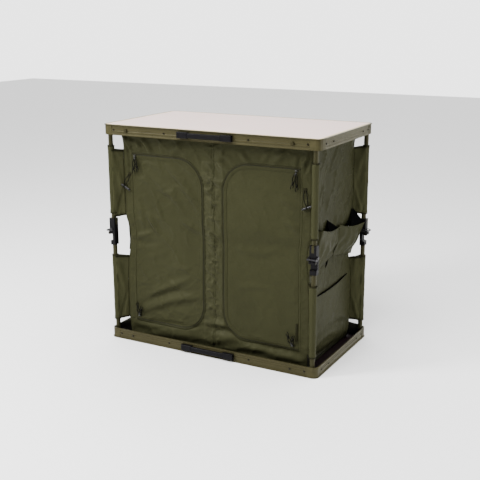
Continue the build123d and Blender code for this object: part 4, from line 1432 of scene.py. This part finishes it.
# Hanging front of a bellows pocket, from its bound lip down to its foot on the wall
def bagPanel(setting, side):
    c, d = (Vector(p) * mm for p in setting["foot"])

    def place(u, v):
        spot = lipPoint(setting, side, u).lerp(c.lerp(d, u), v)
        swell = setting["bulge"] * mm * math.sin(math.pi * min(1, v * 1.15))
        swell *= math.sin(math.pi * u) ** 0.6
        folds = noise.noise(Vector((u * 5.2 + setting["seed"], v * 2.2 + u * 1.5, 0))) * bagCloth["folds"]
        spot.x += swell + folds * math.sin(math.pi * v) ** 0.7
        if side < 0:
            spot.x -= drawIn(spot.z)
        spot.x = side * max(spot.x, wallX(spot.z) + bagCloth["clearance"])
        return spot

    rows, across = bagCloth["rows"], bagCloth["across"]
    points = sheetPoints(rows, across, place)
    panel = makeMesh("panel", points, gridFaces(rows, across), clothFinish)
    bind = tubeAlong("lip", points[:across], bagCloth["lipRadius"], sleeveFinish, 8)
    gussets = []
    for column in (0, across - 1):
        edge = [points[r * across + column] for r in range(rows)]
        if abs(abs(edge[0].x) - bagCloth["wallLip"]) < 3 * mm:
            continue  # this edge lies on the wall
        gussets += cornerGusset(edge, setting, side)
    return panel, bind, gussets


# Pleated cloth from a bag's outer edge to the box corner, and the near-black wing above it, lining painted as
# shade
def cornerGusset(edge, setting, side):
    corner = math.copysign(cloth["halfY"] - gusset["cornerInset"], edge[0].y)
    strip = []
    for p in edge:
        wall = Vector((side * (wallX(p.z) - gusset["sunk"]), corner, p.z + gusset["rise"]))
        middle = (p + wall) / 2 + Vector((0, math.copysign(gusset["pleat"], -edge[0].y), 0))
        strip += [p, middle, wall]
    apexZ = setting["apex"][1] * mm
    top = Vector((side * (wallX(apexZ) - gusset["sunk"]), corner, apexZ))
    shadedWing = []
    for t in np.linspace(0, 1, gusset["wingRows"]):
        low, high = top.lerp(strip[2], t), top.lerp(strip[0], t)
        shadedWing += [low, (low + high) / 2 - Vector((side * gusset["pleat"] * t, 0, 0)), high]
    return [makeMesh("gusset", strip, gridFaces(len(edge), 3), clothFinish),
            makeMesh("shadedWing", shadedWing, gridFaces(gusset["wingRows"], 3), liningShadeFinish)]


# Painted shadows under a bag where its foot stands off the wall: near-black tubes along the gap
def bagGapShadows(setting, side):
    parts = []
    for (ay, az), (by, bz) in setting["gapShadowLines"]:
        line = []
        for t in np.linspace(0, 1, gapShadow["steps"]):
            y, z = (ay + (by - ay) * t) * mm, (az + (bz - az) * t) * mm
            stands = max(onSide(side, y, z)[0].x * side, wallX(z) + bagCloth["clearance"])
            line.append(Vector((side * (stands + gapShadow["out"]), y, z)))
        parts.append(tubeAlong("gap", line, gapShadow["radius"], liningShadeFinish, 8,
                               taper=lambda t: 0.35 + 0.75 * math.sin(math.pi * t)))
    return parts


# Near-black lining between a pocket's lip and the point where its back edge meets the wall, painted dark as
# the shade inside the mouth
def mouthLiningShade(setting, side):
    apexY, apexZ = (v * mm for v in setting["apex"])
    apex = Vector((onSide(1, apexY, apexZ)[0].x + mouth["apexOut"], apexY, apexZ))

    def place(s, v):
        lip = lipPoint(setting, side, setting["open"] + (1 - setting["open"]) * s)
        spot = (lip + Vector(mouth["underLip"])).lerp(apex, v)
        spot.x -= mouth["hollow"] * math.sin(math.pi * v) * math.sin(math.pi * s)
        if abs(spot.y) < cloth["halfY"] - probe["sideGap"]:
            spot.x = max(spot.x, onSide(1, spot.y, spot.z)[0].x + mouth["offWall"])
        spot.x *= side
        return spot

    return sheetMesh("liningShade", 8, 12, place, liningShadeFinish)


# Flat pocket with a slack mouth, and the shadow inside it
def flatPocketPiece(name, side):
    (ay, az), (by, bz) = flatPocket["mouth"]

    def place(u, v):
        y = (ay + (by - ay) * u) * mm
        top = (az + (bz - az) * u) * mm - flatPocket["sag"] * math.sin(math.pi * u)
        z = top + (flatPocket["foot"] * mm - top) * v
        rim = min(1, 6 * u, 6 * (1 - u), 5 * (1 - v) + 0.0001)
        gape = flatPocket["gape"] * math.sin(math.pi * u) * max(0, 1 - v * 9)
        out = flatPocket["proud"] * mm * rim + flatPocket["offWall"] + gape
        return Vector((onSide(side, y, z)[0].x + side * out, y, z))

    rows, across = bagCloth["rows"], bagCloth["across"]
    points = sheetPoints(rows, across, place)
    pocket = makeMesh("pocket", points, gridFaces(rows, across), clothFinish)
    behind, over = flatPocket["shadowAt"]
    line = [p + Vector((-side * behind, 0, over)) for p in points[:across]]
    shadow = tubeAlong("shadow", line, flatPocket["shadowRadius"], liningShadeFinish, 8)
    return joinMeshes(name, [pocket, shadow])


for label, side in (("right", 1), ("left", -1)):
    for name in ("front", "back"):
        setting = bags[name]
        panel, bind, gussets = bagPanel(setting, side)
        parts = [panel, *gussets, mouthLiningShade(setting, side), *bagGapShadows(setting, side)]
        bag = joinMeshes(f"bag_{label}_{name}", parts)
        thicken(bag, 1.0 * mm, 0.0)
        softOn(bag)
        if (label, name) == ("right", "front"):
            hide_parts("side_pockets")
        bind.name = f"bagLip_{label}_{name}"
        softOn(bind)
    softOn(flatPocketPiece(f"flatPocket_{label}", side))

print("inside")


# Stiffened cloth board with a welt round its edge and a light sag
def sewnBoard(name, node, sag, rim, material):
    low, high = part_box(node)
    middle = (low + high) / 2
    halfX, halfY = (high.x - low.x) / 2, (high.y - low.y) / 2
    edgeX, edgeY = halfX - rim, halfY - rim

    def place(s, t):
        u, v = s * 2 - 1, t * 2 - 1
        bump = noise.noise(Vector((u * 2.1, v * 1.7, halfX * 40))) * 1.0 * mm
        drop = sag * (1 - u * u) * (1 - v * v)
        return middle.x + u * edgeX, middle.y + v * edgeY, middle.z - drop + bump

    parts = [sheetMesh("board", 26, 26, place, material)]
    corners = ((-1, -1), (1, -1), (1, 1), (-1, 1), (-1, -1))
    ring = [middle + Vector((u * edgeX, v * edgeY, 0)) for u, v in corners]
    for a, b in zip(ring[:-1], ring[1:]):
        line = [a.lerp(b, t) for t in np.linspace(0, 1, 12)]
        parts.append(tubeAlong("welt", line, rim * 0.9, bindingFinish, 8))
    board = joinMeshes(name, parts)
    thicken(board, 1.6 * mm, 0.0)
    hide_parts(node)
    return board


for name in sides:
    softOn(sewnBoard("shelfCloth_" + name, "shelf_" + name, 3.0 * mm, 1.8 * mm, clothFinish))
floorMat = sewnBoard("floorMat", "floor_board", 0.0, 1.4 * mm, bindingFinish)
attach(floorMat, base)

divider = {"rows": 60, "across": 30, "wave": 4 * mm, "thickness": 1.2 * mm}
dividerLow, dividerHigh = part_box("centre_divider")
dividerSize = (dividerHigh.y - dividerLow.y, dividerHigh.z - dividerLow.z)


def dividerPlace(s, t):
    y, z = dividerLow.y + dividerSize[0] * s, dividerLow.z + dividerSize[1] * t
    wave = noise.noise(Vector((y * 9, z * 5, 51.0))) * divider["wave"]
    edge = 8 * (divider["across"] - 1) / divider["across"]
    return wave * min(1, edge * s, edge * (1 - s)), y, z


dividerCloth = sheetMesh("dividerCloth", divider["rows"], divider["across"], dividerPlace, clothFinish)
thicken(dividerCloth, divider["thickness"], 0.0)
softOn(dividerCloth)
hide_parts("centre_divider")

print("stage, light and camera")

floorSize = 9.0
floorMaterial = newMaterial("pale floor", (0.86, 0.86, 0.86), roughness=0.7)
variedRoughness(floorMaterial, scale=3.0, low=0.66, high=0.74)
floorCorners = [(x * floorSize, y * floorSize, 0) for x, y in ((-1, -1), (1, -1), (1, 1), (-1, 1))]
stageFloor = makeMesh("stageFloor", floorCorners, [(0, 1, 2, 3)], floorMaterial, False)
stageFloor.location.z = -0.4 * mm

# White behind the cabinet, dimmer in front of it
sky = {"From Min": -0.2, "From Max": 0.7, "To Min": 0.5, "To Max": 3.2}
world = bpy.data.worlds.new("studio")
bpy.context.scene.world = world
world.use_nodes = True
world.node_tree.nodes["Background"].inputs["Color"].default_value = (1, 1, 1, 1)
across = axesOf(world, "Generated")["Y"]
skyRange = addNode(world, "MapRange", {"Value": across, **sky}, interpolation_type="SMOOTHSTEP")
connect(world, skyRange.outputs["Result"], "Strength", "Background")

lights = {
    "overhead": {"place": (0.2, -1.3, 2.8), "aim": (0, 0, 0.4), "size": 1.5, "power": 150},
    "rightSide": {"place": (2.8, 0.3, 0.5), "aim": (0.3, 0, 0.2), "size": 1.1, "power": 42},
    "frontKey": {"place": (-2.1, -2.3, 2.1), "aim": (0, 0, 0.4), "size": 0.8, "power": 210},
}
for name, setting in lights.items():
    lamp = bpy.data.lights.new(name, "AREA")
    lamp.size = setting["size"]
    lamp.energy = setting["power"]
    holder = bpy.data.objects.new(name, lamp)
    holder.location = setting["place"]
    holder.rotation_euler = (Vector(setting["aim"]) - holder.location).to_track_quat("-Z", "Y").to_euler()
    bpy.context.scene.collection.objects.link(holder)

shot = {
    "place": (1.3933, -2.5305, 1.1267),
    "yaw": 28.73,
    "pitch": 14.97,
    "roll": -0.215,
    "lens": 64.48,
    "sensor": 36.0,
}
yaw, pitch, roll = (math.radians(shot[k]) for k in ("yaw", "pitch", "roll"))
backward = Vector((math.sin(yaw) * math.cos(pitch), -math.cos(yaw) * math.cos(pitch), math.sin(pitch)))
level = Vector((math.cos(yaw), math.sin(yaw), 0))
upward = backward.cross(level)
right = level * math.cos(roll) + upward * math.sin(roll)
upright = upward * math.cos(roll) - level * math.sin(roll)
cameraData = bpy.data.cameras.new("camera")
cameraData.lens = shot["lens"]
cameraData.sensor_width = shot["sensor"]
camera = bpy.data.objects.new("camera", cameraData)
camera.matrix_world = Matrix((
    (right.x, upright.x, backward.x, shot["place"][0]),
    (right.y, upright.y, backward.y, shot["place"][1]),
    (right.z, upright.z, backward.z, shot["place"][2]),
    (0, 0, 0, 1),
))
bpy.context.scene.collection.objects.link(camera)
bpy.context.scene.camera = camera
